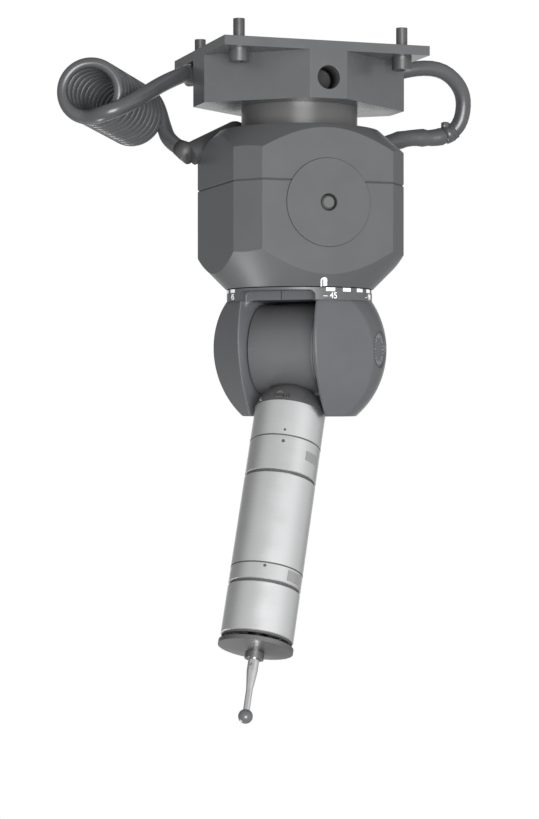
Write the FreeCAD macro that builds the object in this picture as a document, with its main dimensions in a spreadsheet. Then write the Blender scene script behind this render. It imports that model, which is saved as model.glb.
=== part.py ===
"""Motorised indexing probe head with a scanning probe and a ball stylus.

Frame: millimetres, +Z up, origin at the middle of the mounting plate's top face,
front of the head towards -Y. The fork below the housing swivels about Z, and the
probe tilts in it about the fork's own X axis.
"""
import FreeCAD, Part
import math
import os
import Sketcher

os.makedirs("parts", exist_ok=True)
doc = FreeCAD.newDocument("probe_head")
Vector = FreeCAD.Vector
Rotation = FreeCAD.Rotation
Placement = FreeCAD.Placement

# Driving dimensions, in millimetres and degrees. Heights with "at" are below the origin
# for the head, and along the probe from the tilt axis for the probe.
SIZES = {
    "plate_wide": 75.0,
    "plate_deep": 61.0,
    "plate_thick": 3.3,
    "block_tall": 16.5,
    "tip_wide": 13.4,
    "screw_inset": 7.5,
    "screw_shank": 4.0,
    "screw_head": 7.0,
    "screw_head_tall": 4.4,
    "screw_above": 7.0,
    "screw_key": 3.0,
    "screw_key_deep": 2.2,
    "clamp_hole": 8.2,
    "clamp_hole_deep": 9.0,
    "clamp_at": 12.6,
    "clamp_screw": 6.4,
    "vee_deep": 1.6,
    "spigot": 26.0,
    "spigot_tall": 11.5,
    "neck": 41.4,
    "neck_tall": 8.4,
    "neck_lip": 1.0,
    "neck_lip_out": 0.6,
    "neck_bore": 14.0,
    "neck_tenon": 24.0,
    "fit_gap": 0.05,
    "body_wide": 63.0,
    "body_deep": 60.6,
    "corner_across": 7.6,
    "corner_along": 9.1,
    "body_top": 57.2,
    "top_cone": 42.0,
    "floor_cone": 45.0,
    "body_bottom": 52.6,
    "upper_tall": 19.9,
    "lower_tall": 36.1,
    "seam": 0.45,
    "wall_top": 3.2,
    "cavity": 48.0,
    "floor_thick": 5.0,
    "ledge_drop": 8.0,
    "ledge": 1.6,
    "disc": 30.4,
    "disc_at": 55.5,
    "disc_thick": 1.2,
    "disc_proud": 0.35,
    "lamp": 5.6,
    "lamp_proud": 0.7,
    "lamp_deep": 4.0,
    "bearing_outer": 34.0,
    "bearing_lip": 1.2,
    "spindle": 18.0,
    "spindle_bore": 9.0,
    "spindle_above": 26.0,
    "index_ring": 44.0,
    "index_tall": 4.0,
    "index_vee": 1.0,
    "index_step": 15.0,
    "index_gap": 0.4,
    "chassis_thick": 3.0,
    "drive": 30.0,
    "drive_tall": 17.0,
    "coupling": 22.0,
    "coupling_drop": 6.0,
    "board": 40.0,
    "board_thick": 1.6,
    "turn_gap": 0.3,
    "ring": 51.8,
    "ring_tall": 4.2,
    "ring_wall": 1.0,
    "ball": 62.2,
    "ball_drop": 17.0,
    "ball_cut": 23.6,
    "cheek_at": 26.5,
    "cheek_curve": 100.0,
    "cheek_high": 4.0,
    "slot_wide": 28.2,
    "slot_roof": 17.2,
    "slot_back": 13.4,
    "slot_round": 3.5,
    "relief_at": 16.5,
    "relief_round": 2.0,
    "relief_top": 20.4,
    "swing_gap": 0.8,
    "cap": 12.6,
    "cap_deep": 2.6,
    "cap_at": 29.9,
    "swivel_rest": -40.0,
    "tilt_rest": 22.5,
    "drum": 32.4,
    "drum_gap": 0.8,
    "drum_ring": 3.4,
    "shaft": 7.0,
    "shaft_bearing": 11.0,
    "shaft_into": 9.0,
    "shaft_gap": 0.05,
    "collar_ball": 25.8,
    "collar_at": 27.1,
    "probe": 25.0,
    "barrel_at": 24.0,
    "spigot_ring": 18.0,
    "spigot_ring_in": 13.0,
    "spigot_up": 3.5,
    "socket_deep": 4.5,
    "pin": 1.2,
    "pin_circle": 8.0,
    "lock_cam": 3.2,
    "lock_cam_at": 22.0,
    "lock_cam_deep": 5.0,
    "joint_at": 37.0,
    "seal_at": 49.7,
    "seal_tall": 1.0,
    "seal_in": 0.6,
    "band_at": 83.4,
    "lower_seal_at": 89.1,
    "module_end": 107.2,
    "edge": 0.25,
    "module_bore": 22.4,
    "module_roof": 1.8,
    "foot_ring": 24.2,
    "foot_tall": 0.6,
    "gimbal_at": 100.0,
    "gimbal_out": 20.0,
    "gimbal_in": 16.0,
    "gimbal_tall": 4.0,
    "gimbal_pin": 2.0,
    "pin_gap": 0.05,
    "sleeve_out": 10.0,
    "sleeve_tall": 7.0,
    "carrier_rod": 6.4,
    "carrier_top": 94.2,
    "carrier_head": 9.0,
    "carrier_head_tall": 1.2,
    "holder_at": 109.2,
    "holder": 25.8,
    "holder_rim": 1.5,
    "holder_cone": 1.3,
    "hub": 6.6,
    "hub_end": 114.2,
    "stem_base": 3.8,
    "stem_base_end": 118.4,
    "stem_taper_end": 124.8,
    "stem": 2.3,
    "stem_cross_hole": 1.0,
    "stem_hole_at": 116.4,
    "stylus_ball": 5.0,
    "ball_at": 134.0,
    "cord": 5.7,
    "coil_out": 23.4,
    "coil_hole": 16.0,
    "boot": 9.0,
    "boot_tip": 8.4,
    "plug": 7.2,
    "plug_out": 8.0,
    "ferrule": 6.4,
    "plug_at": 7.3,
    "plug_share": 0.205,
    "left_boot_in": 14.3,
    "left_boot_rise": 1.6,
    "right_boot_in": 5.0,
    "right_boot_drop": 6.4,
}

sheet = doc.addObject("Spreadsheet::Sheet", "sizes")
for row, (alias, size) in enumerate(SIZES.items(), start=1):
    sheet.set("A%d" % row, alias)
    sheet.set("B%d" % row, str(size))
    sheet.setAlias("B%d" % row, alias)
doc.recompute()


def cell(text):
    """The formula with each alias written as a reference to its cell."""
    words = []
    word = ""
    for letter in text + " ":
        if letter.isalnum() or letter == "_":
            word += letter
            continue
        words.append("sizes." + word if word in SIZES else word)
        words.append(letter)
        word = ""
    return "".join(words).strip()


def value(text):
    """The number that a formula of aliases gives, worked out in a spare cell."""
    sheet.set("D1", "=" + text)
    sheet.recompute()
    return float(sheet.get("D1"))


pieces = {}


def keep(item, name):
    """Give a finished sub-part the name of its node."""
    item.Label = name
    pieces[name] = item
    return item


def bind(item, **formulas):
    for key, text in formulas.items():
        item.setExpression(key, cell(text))
    return item


def moved(item, x="0", y="0", z="0", turn=None):
    """Bind the item's place to the sheet, and turn it if asked."""
    if turn is not None:
        item.Placement = Placement(Vector(0, 0, 0), turn)
    item.setExpression(".Placement.Base.x", cell(x))
    item.setExpression(".Placement.Base.y", cell(y))
    item.setExpression(".Placement.Base.z", cell(z))
    return item


def cylinder(name, across, tall, x="0", y="0", z="0", turn=None):
    item = doc.addObject("Part::Cylinder", name)
    bind(item, Radius="(%s) / 2" % across, Height=tall)
    return moved(item, x, y, z, turn)


def box(name, wide, deep, tall, x="0", y="0", z="0", turn=None):
    item = doc.addObject("Part::Box", name)
    bind(item, Length=wide, Width=deep, Height=tall)
    return moved(item, x, y, z, turn)


def ball(name, across, x="0", y="0", z="0"):
    item = doc.addObject("Part::Sphere", name)
    bind(item, Radius="(%s) / 2" % across)
    return moved(item, x, y, z)


def cut(name, base, tool):
    item = doc.addObject("Part::Cut", name)
    item.Base = base
    item.Tool = tool
    return item


def fuse(name, *items):
    item = doc.addObject("Part::MultiFuse", name)
    item.Shapes = list(items)
    return item


def common(name, *items):
    item = doc.addObject("Part::MultiCommon", name)
    item.Shapes = list(items)
    return item


def plane(body, role):
    return [item for item in body.Origin.OriginFeatures if item.Role == role][0]


def outline(body, name, role, points, lift=None):
    """A closed sketch of straight sides, each corner bound to a pair of formulas."""
    sketch = body.newObject("Sketcher::SketchObject", name)
    sketch.AttachmentSupport = [(plane(body, role), "")]
    sketch.MapMode = "FlatFace"
    if lift is not None:
        sketch.setExpression(".AttachmentOffset.Base.z", cell(lift))
    spots = [Vector(value(point[0]), value(point[1]), 0) for point in points]
    count = len(points)
    for index, point in enumerate(points):
        start = spots[index]
        end = spots[(index + 1) % count]
        sketch.addGeometry(Part.LineSegment(start, end), False)
    for index in range(count):
        sketch.addConstraint(Sketcher.Constraint("Coincident", index, 2, (index + 1) % count, 1))
    for index, point in enumerate(points):
        spot = spots[index]
        for kind, text, far in (("DistanceX", point[0], spot.x), ("DistanceY", point[1], spot.y)):
            number = sketch.addConstraint(Sketcher.Constraint(kind, -1, 1, index, 1, far))
            sketch.setExpression("Constraints[%d]" % number, cell(text))
    return sketch


def new_body(name):
    body = doc.addObject("PartDesign::Body", name + "_body")
    return keep(body, name)


def turned(name, points):
    """A body turned about Z from its half outline of (radius, height) formulas."""
    body = new_body(name)
    sketch = outline(body, name + "_outline", "XZ_Plane", points)
    turn = body.newObject("PartDesign::Revolution", name + "_turn")
    turn.Profile = sketch
    turn.ReferenceAxis = (sketch, ["V_Axis"])
    turn.Angle = 360.0
    return body


def turned_cut(body, name, points):
    sketch = outline(body, name + "_outline", "XZ_Plane", points)
    groove = body.newObject("PartDesign::Groove", name)
    groove.Profile = sketch
    groove.ReferenceAxis = (sketch, ["V_Axis"])
    groove.Angle = 360.0
    return groove


def pad(body, name, points, tall, lift="0", down=False):
    sketch = outline(body, name + "_outline", "XY_Plane", points, lift)
    item = body.newObject("PartDesign::Pad", name)
    item.Profile = sketch
    item.setExpression("Length", cell(tall))
    item.Reversed = down
    return item


def round_sketch(body, name, role, across, x, y, lift):
    sketch = body.newObject("Sketcher::SketchObject", name)
    sketch.AttachmentSupport = [(plane(body, role), "")]
    sketch.MapMode = "FlatFace"
    sketch.setExpression(".AttachmentOffset.Base.z", cell(lift))
    middle = Vector(value(x), value(y), 0)
    sketch.addGeometry(Part.Circle(middle, Vector(0, 0, 1), value(across) / 2), False)
    for kind, text, far in (("DistanceX", x, middle.x), ("DistanceY", y, middle.y)):
        number = sketch.addConstraint(Sketcher.Constraint(kind, -1, 1, 0, 3, far))
        sketch.setExpression("Constraints[%d]" % number, cell(text))
    number = sketch.addConstraint(Sketcher.Constraint("Diameter", 0, value(across)))
    sketch.setExpression("Constraints[%d]" % number, cell(across))
    return sketch


def pocket(body, name, role, across, x, y, lift, deep, flip=False):
    """A round hole, cut along the plane's normal or against it."""
    sketch = round_sketch(body, name + "_ring", role, across, x, y, lift)
    item = body.newObject("PartDesign::Pocket", name)
    item.Profile = sketch
    item.setExpression("Length", cell(deep))
    item.Reversed = flip
    return item


# Places that several sub-parts share
NECK_TOP = "-plate_thick - block_tall"
BODY_TOP = "-plate_thick - block_tall - neck_tall"
SEAM = "-plate_thick - block_tall - neck_tall - upper_tall"
BODY_FLOOR = SEAM + " - lower_tall"
FORK_TOP = BODY_FLOOR + " - turn_gap"
FORK_CENTRE = FORK_TOP + " - ring_tall - ball_drop"
FORK_TOP_LOCAL = "ring_tall + ball_drop"

fork_place = Placement(Vector(0, 0, value(FORK_CENTRE)), Rotation(Vector(0, 0, 1), SIZES["swivel_rest"]))
tilt_turn = Placement(Vector(0, 0, 0), Rotation(Vector(1, 0, 0), -SIZES["tilt_rest"]))
probe_place = fork_place.multiply(tilt_turn)
ACROSS_X = Rotation(Vector(0, 1, 0), 90)
ACROSS_Y = Rotation(Vector(1, 0, 0), 90)


# Mounting plate and adapter block, machined as one piece
adapter = new_body("adapter_block")
half_wide = "plate_wide / 2"
half_deep = "plate_deep / 2"
half_tip = "tip_wide / 2"
pad(
    adapter,
    "plate_pad",
    [
        ("-" + half_wide, "-" + half_deep),
        (half_wide, "-" + half_deep),
        (half_wide, half_deep),
        ("-" + half_wide, half_deep),
    ],
    "plate_thick",
    "-plate_thick",
)
pad(
    adapter,
    "block_pad",
    [
        (half_tip, "-" + half_deep),
        (half_wide, "-" + half_tip),
        (half_wide, half_tip),
        (half_tip, half_deep),
        ("-" + half_tip, half_deep),
        ("-" + half_wide, half_tip),
        ("-" + half_wide, "-" + half_tip),
        ("-" + half_tip, "-" + half_deep),
    ],
    "block_tall",
    NECK_TOP,
)
pocket(
    adapter, "spigot_bore", "XY_Plane", "spigot + 2 * fit_gap", "0", "0", NECK_TOP,
    "spigot_tall + fit_gap", True,
)
pocket(adapter, "cable_bore", "XY_Plane", "neck_bore", "0", "0", NECK_TOP, "block_tall + plate_thick", True)
pocket(adapter, "clamp_way", "XZ_Plane", "clamp_hole", "0", "-clamp_at", half_deep, "clamp_hole_deep")
pocket(
    adapter, "clamp_thread", "XZ_Plane", "clamp_screw + 2 * fit_gap", "0", "-clamp_at",
    half_deep, half_deep,
)
corner_x = half_wide + " - screw_inset"
corner_y = half_deep + " - screw_inset"
corners = [(sx + "(" + corner_x + ")", sy + "(" + corner_y + ")") for sx in ("", "-") for sy in ("", "-")]
for number, (x, y) in enumerate(corners, start=1):
    pocket(adapter, "screw_hole_%d" % number, "XY_Plane", "screw_shank + 1.3", x, y, "0", "plate_thick")


def socket_screw(name, x, y):
    """A cap screw hanging head down, with its hexagon socket."""
    head = cylinder(name + "_head", "screw_head", "screw_head_tall", x, y, "-plate_thick - screw_head_tall")
    shank = cylinder(name + "_shank", "screw_shank + 0.8", "plate_thick", x, y, "-plate_thick")
    thread = cylinder(name + "_thread", "screw_shank", "screw_above", x, y)
    key = doc.addObject("Part::Prism", name + "_key")
    key.Polygon = 6
    bind(key, Circumradius="screw_key / sqrt(3)", Height="screw_key_deep")
    moved(key, x, y, "-plate_thick - screw_head_tall")
    return cut(name, fuse(name + "_solid", head, shank, thread), key)


screws = [socket_screw("plate_screw_%d" % number, x, y) for number, (x, y) in enumerate(corners, start=1)]
group = doc.addObject("Part::Compound", "plate_screw_group")
group.Links = screws
keep(group, "plate_screws")

# Clamp screw in the front pillar, its point in the neck's groove
clamp = new_body("clamp_screw")
clamp_sketch = outline(
    clamp,
    "clamp_outline",
    "XZ_Plane",
    [
        ("0", "0"),
        ("vee_deep", "vee_deep"),
        ("clamp_screw / 2", "vee_deep"),
        ("clamp_screw / 2", "plate_deep / 2 - clamp_hole_deep - spigot / 2 + vee_deep"),
        ("0", "plate_deep / 2 - clamp_hole_deep - spigot / 2 + vee_deep"),
    ],
)
clamp_turn = clamp.newObject("PartDesign::Revolution", "clamp_turn")
clamp_turn.Profile = clamp_sketch
clamp_turn.ReferenceAxis = (clamp_sketch, ["V_Axis"])
clamp_turn.Angle = 360.0
clamp.Placement = Placement(
    Vector(0, -value("spigot / 2 - vee_deep + 0.3"), -SIZES["clamp_at"]), Rotation(Vector(1, 0, 0), 90)
)

# Neck: spigot clamped in the block, flange, and a tenon into the housing's lid
turned(
    "mounting_neck",
    [
        ("neck_bore / 2", BODY_TOP + " - wall_top"),
        ("neck_tenon / 2", BODY_TOP + " - wall_top"),
        ("neck_tenon / 2", BODY_TOP),
        ("neck / 2 + neck_lip_out", BODY_TOP),
        ("neck / 2 + neck_lip_out", BODY_TOP + " + neck_lip"),
        ("neck / 2", BODY_TOP + " + neck_lip"),
        ("neck / 2", NECK_TOP),
        ("spigot / 2", NECK_TOP),
        ("spigot / 2", "-clamp_at - vee_deep"),
        ("spigot / 2 - vee_deep", "-clamp_at"),
        ("spigot / 2", "-clamp_at + vee_deep"),
        ("spigot / 2", NECK_TOP + " + spigot_tall"),
        ("neck_bore / 2", NECK_TOP + " + spigot_tall"),
    ],
)

# Housing: an eight-sided prism with both ends turned to a cone
side_half = "body_wide / 2"
front_half = "body_deep / 2"
prism_points = [
    (side_half + " - corner_across", "-" + front_half),
    (side_half, "-" + front_half + " + corner_along"),
    (side_half, front_half + " - corner_along"),
    (side_half + " - corner_across", front_half),
    ("-" + side_half + " + corner_across", front_half),
    ("-" + side_half, front_half + " - corner_along"),
    ("-" + side_half, "-" + front_half + " + corner_along"),
    ("-" + side_half + " + corner_across", "-" + front_half),
]
REACH = "body_wide"


def seam_edges(shape, height):
    """The names of the outer edges that lie in the parting plane."""
    names = []
    for index, edge in enumerate(shape.Edges, start=1):
        level = all(abs(vertex.Z - height) < 0.001 for vertex in edge.Vertexes)
        straight = edge.Curve.TypeId == "Part::GeomLine"
        if level and straight:
            names.append("Edge%d" % index)
    return names


def seam_bevel(body, name, base, height):
    """The small bevel that makes the parting line."""
    doc.recompute()
    bevel = body.newObject("PartDesign::Chamfer", name)
    bevel.Base = (base, seam_edges(base.Shape, height))
    bevel.setExpression("Size", cell("seam"))
    return bevel


upper = new_body("upper_housing")
pad(upper, "upper_pad", prism_points, "upper_tall", SEAM)
upper_cone = turned_cut(
    upper,
    "upper_cone",
    [
        ("body_top / 2", BODY_TOP + " + 1"),
        ("body_top / 2", BODY_TOP),
        (REACH, BODY_TOP + " - (body_wide - body_top / 2) * tan(top_cone * 1deg)"),
        (REACH, BODY_TOP + " + 1"),
    ],
)
seam_bevel(upper, "upper_seam", upper_cone, value(SEAM))
pocket(upper, "upper_cavity", "XY_Plane", "cavity", "0", "0", SEAM, "upper_tall - wall_top", True)
pocket(upper, "neck_mortise", "XY_Plane", "neck_tenon + 2 * fit_gap", "0", "0", SEAM, "upper_tall", True)
pocket(
    upper, "upper_disc_seat", "XZ_Plane", "disc + 2 * fit_gap", "0", "-disc_at", front_half,
    "disc_thick - disc_proud",
)

lower = new_body("lower_housing")
pad(lower, "lower_pad", prism_points, "lower_tall", BODY_FLOOR)
lower_cone = turned_cut(
    lower,
    "lower_cone",
    [
        ("body_bottom / 2", BODY_FLOOR + " - 1"),
        (REACH, BODY_FLOOR + " - 1"),
        (REACH, BODY_FLOOR + " + (body_wide - body_bottom / 2) * tan(floor_cone * 1deg)"),
        ("body_bottom / 2", BODY_FLOOR),
    ],
)
seam_bevel(lower, "lower_seam", lower_cone, value(SEAM))
pocket(lower, "ledge_cavity", "XY_Plane", "cavity", "0", "0", SEAM, "ledge_drop")
pocket(lower, "lower_cavity", "XY_Plane", "cavity - 2 * ledge", "0", "0", SEAM, "lower_tall - floor_thick")
pocket(lower, "bearing_seat", "XY_Plane", "bearing_outer + 2 * fit_gap", "0", "0", SEAM, "lower_tall")
pocket(
    lower, "lower_disc_seat", "XZ_Plane", "disc + 2 * fit_gap", "0", "-disc_at", front_half,
    "disc_thick - disc_proud",
)
pocket(lower, "lamp_way", "XZ_Plane", "lamp + 2 * fit_gap", "0", "-disc_at", front_half, "lamp_deep")

# Round cover disc on the front, and the domed lamp in its middle
DISC_BACK = front_half + " - disc_thick + disc_proud"
LAMP_BACK = front_half + " - lamp_deep"
LENS_RISE = "disc_proud + lamp_proud"
disc_plate = cylinder("disc_plate", "disc", "disc_thick", "0", "-(" + DISC_BACK + ")", "-disc_at", ACROSS_Y)
disc_hole = cylinder(
    "disc_hole", "lamp + 2 * fit_gap", "disc_thick", "0", "-(" + DISC_BACK + ")", "-disc_at", ACROSS_Y
)
keep(cut("cover_disc_cut", disc_plate, disc_hole), "cover_disc")

lamp_stem = cylinder(
    "lamp_stem", "lamp", "lamp_deep + disc_proud", "0", "-(" + LAMP_BACK + ")", "-disc_at", ACROSS_Y
)
lamp_dome = ball("lamp_dome", "lamp", "0", "-(" + front_half + " - lamp / 2 + " + LENS_RISE + ")", "-disc_at")
lamp_core = cylinder(
    "lamp_core", "lamp", "lamp_deep", "0", "-(" + LAMP_BACK + " - lamp / 2 + lamp_proud)",
    "-disc_at", ACROSS_Y,
)
keep(common("lamp_lens", lamp_stem, fuse("lamp_solid", lamp_dome, lamp_core)), "status_lamp")

# Inside the housing: chassis, sealed drive, board, bearing and the fixed index ring
CHASSIS_FOOT = SEAM + " - ledge_drop"
turned(
    "chassis_plate",
    [
        ("coupling / 2 + fit_gap", CHASSIS_FOOT),
        ("cavity / 2 - fit_gap", CHASSIS_FOOT),
        ("cavity / 2 - fit_gap", CHASSIS_FOOT + " + chassis_thick"),
        ("coupling / 2 + fit_gap", CHASSIS_FOOT + " + chassis_thick"),
    ],
)
turned(
    "swivel_drive",
    [
        ("0", CHASSIS_FOOT + " + chassis_thick"),
        ("spindle / 2 + turn_gap", CHASSIS_FOOT + " + chassis_thick"),
        ("spindle / 2 + turn_gap", CHASSIS_FOOT + " - coupling_drop"),
        ("coupling / 2", CHASSIS_FOOT + " - coupling_drop"),
        ("coupling / 2", CHASSIS_FOOT + " + chassis_thick"),
        ("drive / 2", CHASSIS_FOOT + " + chassis_thick"),
        ("drive / 2", CHASSIS_FOOT + " + chassis_thick + drive_tall"),
        ("0", CHASSIS_FOOT + " + chassis_thick + drive_tall"),
    ],
)
BOARD_FOOT = CHASSIS_FOOT + " + chassis_thick + drive_tall"
keep(cylinder("board_plate", "board", "board_thick", "0", "0", BOARD_FOOT), "circuit_board")

BEARING_FOOT = BODY_FLOOR
turned(
    "swivel_bearing",
    [
        ("spindle / 2 + fit_gap", BEARING_FOOT),
        ("bearing_outer / 2", BEARING_FOOT),
        ("bearing_outer / 2", BODY_FLOOR + " + floor_thick"),
        ("bearing_outer / 2 + bearing_lip", BODY_FLOOR + " + floor_thick"),
        ("bearing_outer / 2 + bearing_lip", BODY_FLOOR + " + floor_thick + bearing_lip"),
        ("spindle / 2 + fit_gap", BODY_FLOOR + " + floor_thick + bearing_lip"),
    ],
)


def index_washer(name, inner, outer, foot, tall):
    ring = cylinder(name + "_outer", outer, tall, "0", "0", foot)
    hole = cylinder(name + "_hole", inner, tall, "0", "0", foot)
    return cut(name + "_ring", ring, hole)


INDEX_FOOT = BODY_FLOOR + " + floor_thick"
INDEX_TOP = INDEX_FOOT + " + index_tall"


def radial_vees(name, solid, face_z, upward):
    """Cut the solid's face with radial V grooves, one for each index step."""
    count = int(round(360.0 / SIZES["index_step"]))
    deep = SIZES["index_vee"] if upward else -SIZES["index_vee"]
    past_rim = SIZES["index_ring"]
    half = 1.2 * SIZES["index_vee"]
    level = value(face_z)
    tools = []
    for number in range(count):
        left = Vector(0, -half, level)
        corners = [left, Vector(0, half, level), Vector(0, 0, level - deep), left]
        face = Part.Face(Part.makePolygon(corners))
        prism_solid = face.extrude(Vector(past_rim, 0, 0))
        prism_solid.rotate(Vector(0, 0, 0), Vector(0, 0, 1), number * SIZES["index_step"])
        tools.append(prism_solid)
    doc.recompute()
    item = doc.addObject("Part::Feature", name + "_toothed")
    item.Shape = solid.Shape.cut(tools).removeSplitter()
    return keep(item, name)


LIP_CLEAR = "bearing_outer + 2 * bearing_lip + 2 * fit_gap"
radial_vees(
    "fixed_index_ring",
    index_washer("fixed_index", LIP_CLEAR, "index_ring", INDEX_FOOT, "index_tall"),
    INDEX_TOP,
    True,
)

# Cord fittings on the back: a tapered boot on each side of the housing, a plug on each
# slanted face of the block
BACK_SLANT = math.atan2(SIZES["plate_wide"] - SIZES["tip_wide"], SIZES["plate_deep"] - SIZES["tip_wide"])


def on_slant(sign):
    """A plug's place on the block's slanted back face, left or right."""
    share = SIZES["plug_share"]
    x = value("plate_wide / 2") * (1 - share) + value("tip_wide / 2") * share
    y = value("tip_wide / 2") * (1 - share) + value("plate_deep / 2") * share
    return Vector(sign * x, y, -SIZES["plug_at"])


LEFT_PLUG_FOOT = on_slant(-1)
LEFT_PLUG_EXIT = LEFT_PLUG_FOOT + Vector(-7.0, 2.0, 0.3)
RIGHT_PLUG_FOOT = on_slant(1)
RIGHT_PLUG_EXIT = RIGHT_PLUG_FOOT + Vector(10.1, -1.8, 3.9)
LEFT_BOOT_FOOT = Vector(-value("body_wide / 2 - left_boot_in"), 21.5, value(BODY_TOP + " + left_boot_rise"))
LEFT_BOOT_TIP = LEFT_BOOT_FOOT + Vector(-17.1, -1.0, -8.2)
RIGHT_BOOT_FOOT = Vector(value("body_wide / 2 - right_boot_in"), 15.2, value(BODY_TOP + " - right_boot_drop"))
RIGHT_BOOT_TIP = RIGHT_BOOT_FOOT + Vector(9.9, 0.4, 4.4)

# Cord routes: from the left plug to the coil's front turn, from its rear turn to the left
# boot, and from the right plug in one loop to the right boot
UPPER_ROUTE = [
    LEFT_PLUG_EXIT,
    Vector(-46.9, 8.2, -10.6),
    Vector(-61.4, 0.0, -20.0),
    Vector(-70.4, -1.0, -24.4),
    Vector(-76.0, 4.9, -25.3),
]
LOWER_ROUTE = [
    Vector(-41.6, 31.2, -17.4),
    Vector(-41.8, 30.4, -23.6),
    Vector(-40.2, 27.5, -30.5),
    LEFT_BOOT_TIP,
]
RIGHT_ROUTE = [
    RIGHT_PLUG_EXIT,
    Vector(54.7, 7.6, 0.7),
    Vector(68.9, 11.0, -7.4),
    Vector(69.5, 14.4, -21.0),
    Vector(61.6, 16.4, -26.2),
    Vector(47.1, 16.4, -25.8),
    RIGHT_BOOT_TIP,
]
COIL_FRONT = Vector(-75.2, 6.0, -15.5)
COIL_REAR = Vector(-50.0, 36.0, -19.6)


def rod_between(name, start, end, across):
    """A rod from one point to another, its diameter bound to the sheet."""
    item = doc.addObject("Part::Cylinder", name)
    bind(item, Radius="(%s) / 2" % across)
    item.Height = (end - start).Length
    item.Placement = Placement(start, Rotation(Vector(0, 0, 1), end - start))
    return item


def boot(name, foot, tip, cord_from):
    """A tapered boot, its foot shaped to the housing, with a way for the cord in its tip."""
    item = doc.addObject("Part::Cone", name + "_cone")
    bind(item, Radius1="boot / 2", Radius2="boot_tip / 2")
    item.Height = (tip - foot).Length
    item.Placement = Placement(foot, Rotation(Vector(0, 0, 1), tip - foot))
    lid = cylinder(name + "_inside", "body_top", "lower_tall + upper_tall", "0", "0", BODY_FLOOR)
    way = rod_between(name + "_way", tip, cord_from, "cord + 2 * fit_gap")
    heel = doc.addObject("Part::Sphere", name + "_heel")
    bind(heel, Radius="boot / 2")
    heel.Placement = Placement(foot, Rotation())
    solid = fuse(name + "_solid", item, heel)
    return keep(cut(name + "_cut", solid, fuse(name + "_tools", upper, lower, lid, way)), name)


def elbow_plug(name, sign, foot, exit_point, cord_to):
    """A round plug square to the slanted face, with the cord's ferrule from its side."""
    away = Vector(sign * math.cos(BACK_SLANT), math.sin(BACK_SLANT), 0)
    tall = SIZES["plug_out"]
    stub = rod_between(name + "_stub", foot - away * 2, foot + away * tall, "plug")
    knee = foot + away * (tall - SIZES["plug"] / 2)
    ferrule = rod_between(name + "_ferrule", knee, exit_point, "ferrule")
    way = rod_between(name + "_way", exit_point, cord_to, "cord + 2 * fit_gap")
    solid = fuse(name + "_solid", stub, ferrule)
    return keep(cut(name + "_cut", solid, fuse(name + "_tools", adapter, way)), name)


boot("left_boot", LEFT_BOOT_FOOT, LEFT_BOOT_TIP, LOWER_ROUTE[-2])
boot("right_boot", RIGHT_BOOT_FOOT, RIGHT_BOOT_TIP, RIGHT_ROUTE[-2])
elbow_plug("left_plug", -1, LEFT_PLUG_FOOT, LEFT_PLUG_EXIT, UPPER_ROUTE[1])
elbow_plug("right_plug", 1, RIGHT_PLUG_FOOT, RIGHT_PLUG_EXIT, RIGHT_ROUTE[1])


def route_wire(points):
    """Straight runs joined by tangent arcs."""
    edges = []
    at = points[0]
    for before, corner, after in zip(points, points[1:], points[2:]):
        to_next = after - corner
        from_last = corner - before
        run = 0.45 * min(to_next.Length, from_last.Length)
        start = corner - from_last.normalize() * run
        end = corner + to_next.normalize() * run
        half_turn = from_last.getAngle(to_next) / 2
        inward = (to_next - from_last).normalize()
        radius = run / math.tan(half_turn)
        middle = corner + inward * (radius / math.cos(half_turn) - radius)
        edges.append(Part.makeLine(at, start))
        edges.append(Part.Arc(start, middle, end).toShape())
        at = end
    edges.append(Part.makeLine(at, points[-1]))
    return Part.Wire(edges)


def cord(name, points):
    spine = doc.addObject("Part::Feature", name + "_route")
    spine.Shape = route_wire(points)
    ring = doc.addObject("Part::Circle", name + "_ring")
    bind(ring, Radius="cord / 2")
    ring.Placement = Placement(points[0], Rotation(Vector(0, 0, 1), points[1] - points[0]))
    sweep = doc.addObject("Part::Sweep", name + "_sweep")
    sweep.Sections = [ring]
    sweep.Spine = (spine, ["Edge%d" % number for number in range(1, len(spine.Shape.Edges) + 1)])
    sweep.Solid = True
    sweep.Frenet = False
    doc.recompute()
    ratio = sweep.Shape.Volume / (math.pi * value("cord") ** 2 / 4 * spine.Shape.Length)
    if abs(ratio - 1) > 0.02:
        raise RuntimeError("%s: swept volume is %.3f of section times length" % (name, ratio))
    return sweep


coil_rod = rod_between("coil_rod", COIL_FRONT, COIL_REAR, "coil_out")
coil_eye = rod_between("coil_eye", COIL_FRONT, COIL_REAR, "coil_hole")
coil = keep(cut("coil_cut", coil_rod, coil_eye), "cord_coil")
for ending, points in (("upper", UPPER_ROUTE), ("lower", LOWER_ROUTE)):
    run_cut = cut(ending + "_run_cut", cord(ending + "_run", points), fuse(ending + "_tools", coil, coil_eye))
    keep(run_cut, "cord_" + ending + "_run")
keep(cord("right_run", RIGHT_ROUTE), "right_cord")

# Fork: ball with two slanted cheeks, slotted for the drum and the swinging probe
HUB = "ring - 2 * ring_wall"
SLOT_HALF = "slot_wide / 2"


def cheek(name, sign):
    """A long horizontal drum whose skin is one cheek face, 45 degrees to the slot."""
    item = doc.addObject("Part::Cylinder", name)
    bind(item, Radius="cheek_curve / 2", Height="4 * ball")
    across = Vector(math.sin(math.radians(45)) * sign, -math.cos(math.radians(45)), 0)
    along = Vector(-across.y, across.x, 0)
    item.Placement = Placement(Vector(0, 0, 0), Rotation(Vector(0, 0, 1), along))
    back = "(cheek_at - cheek_curve / 2)"
    item.setExpression(".Placement.Base.x", cell("%s * %r - 2 * ball * %r" % (back, across.x, along.x)))
    item.setExpression(".Placement.Base.y", cell("%s * %r - 2 * ball * %r" % (back, across.y, along.y)))
    item.setExpression(".Placement.Base.z", cell("cheek_high"))
    return item


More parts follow.
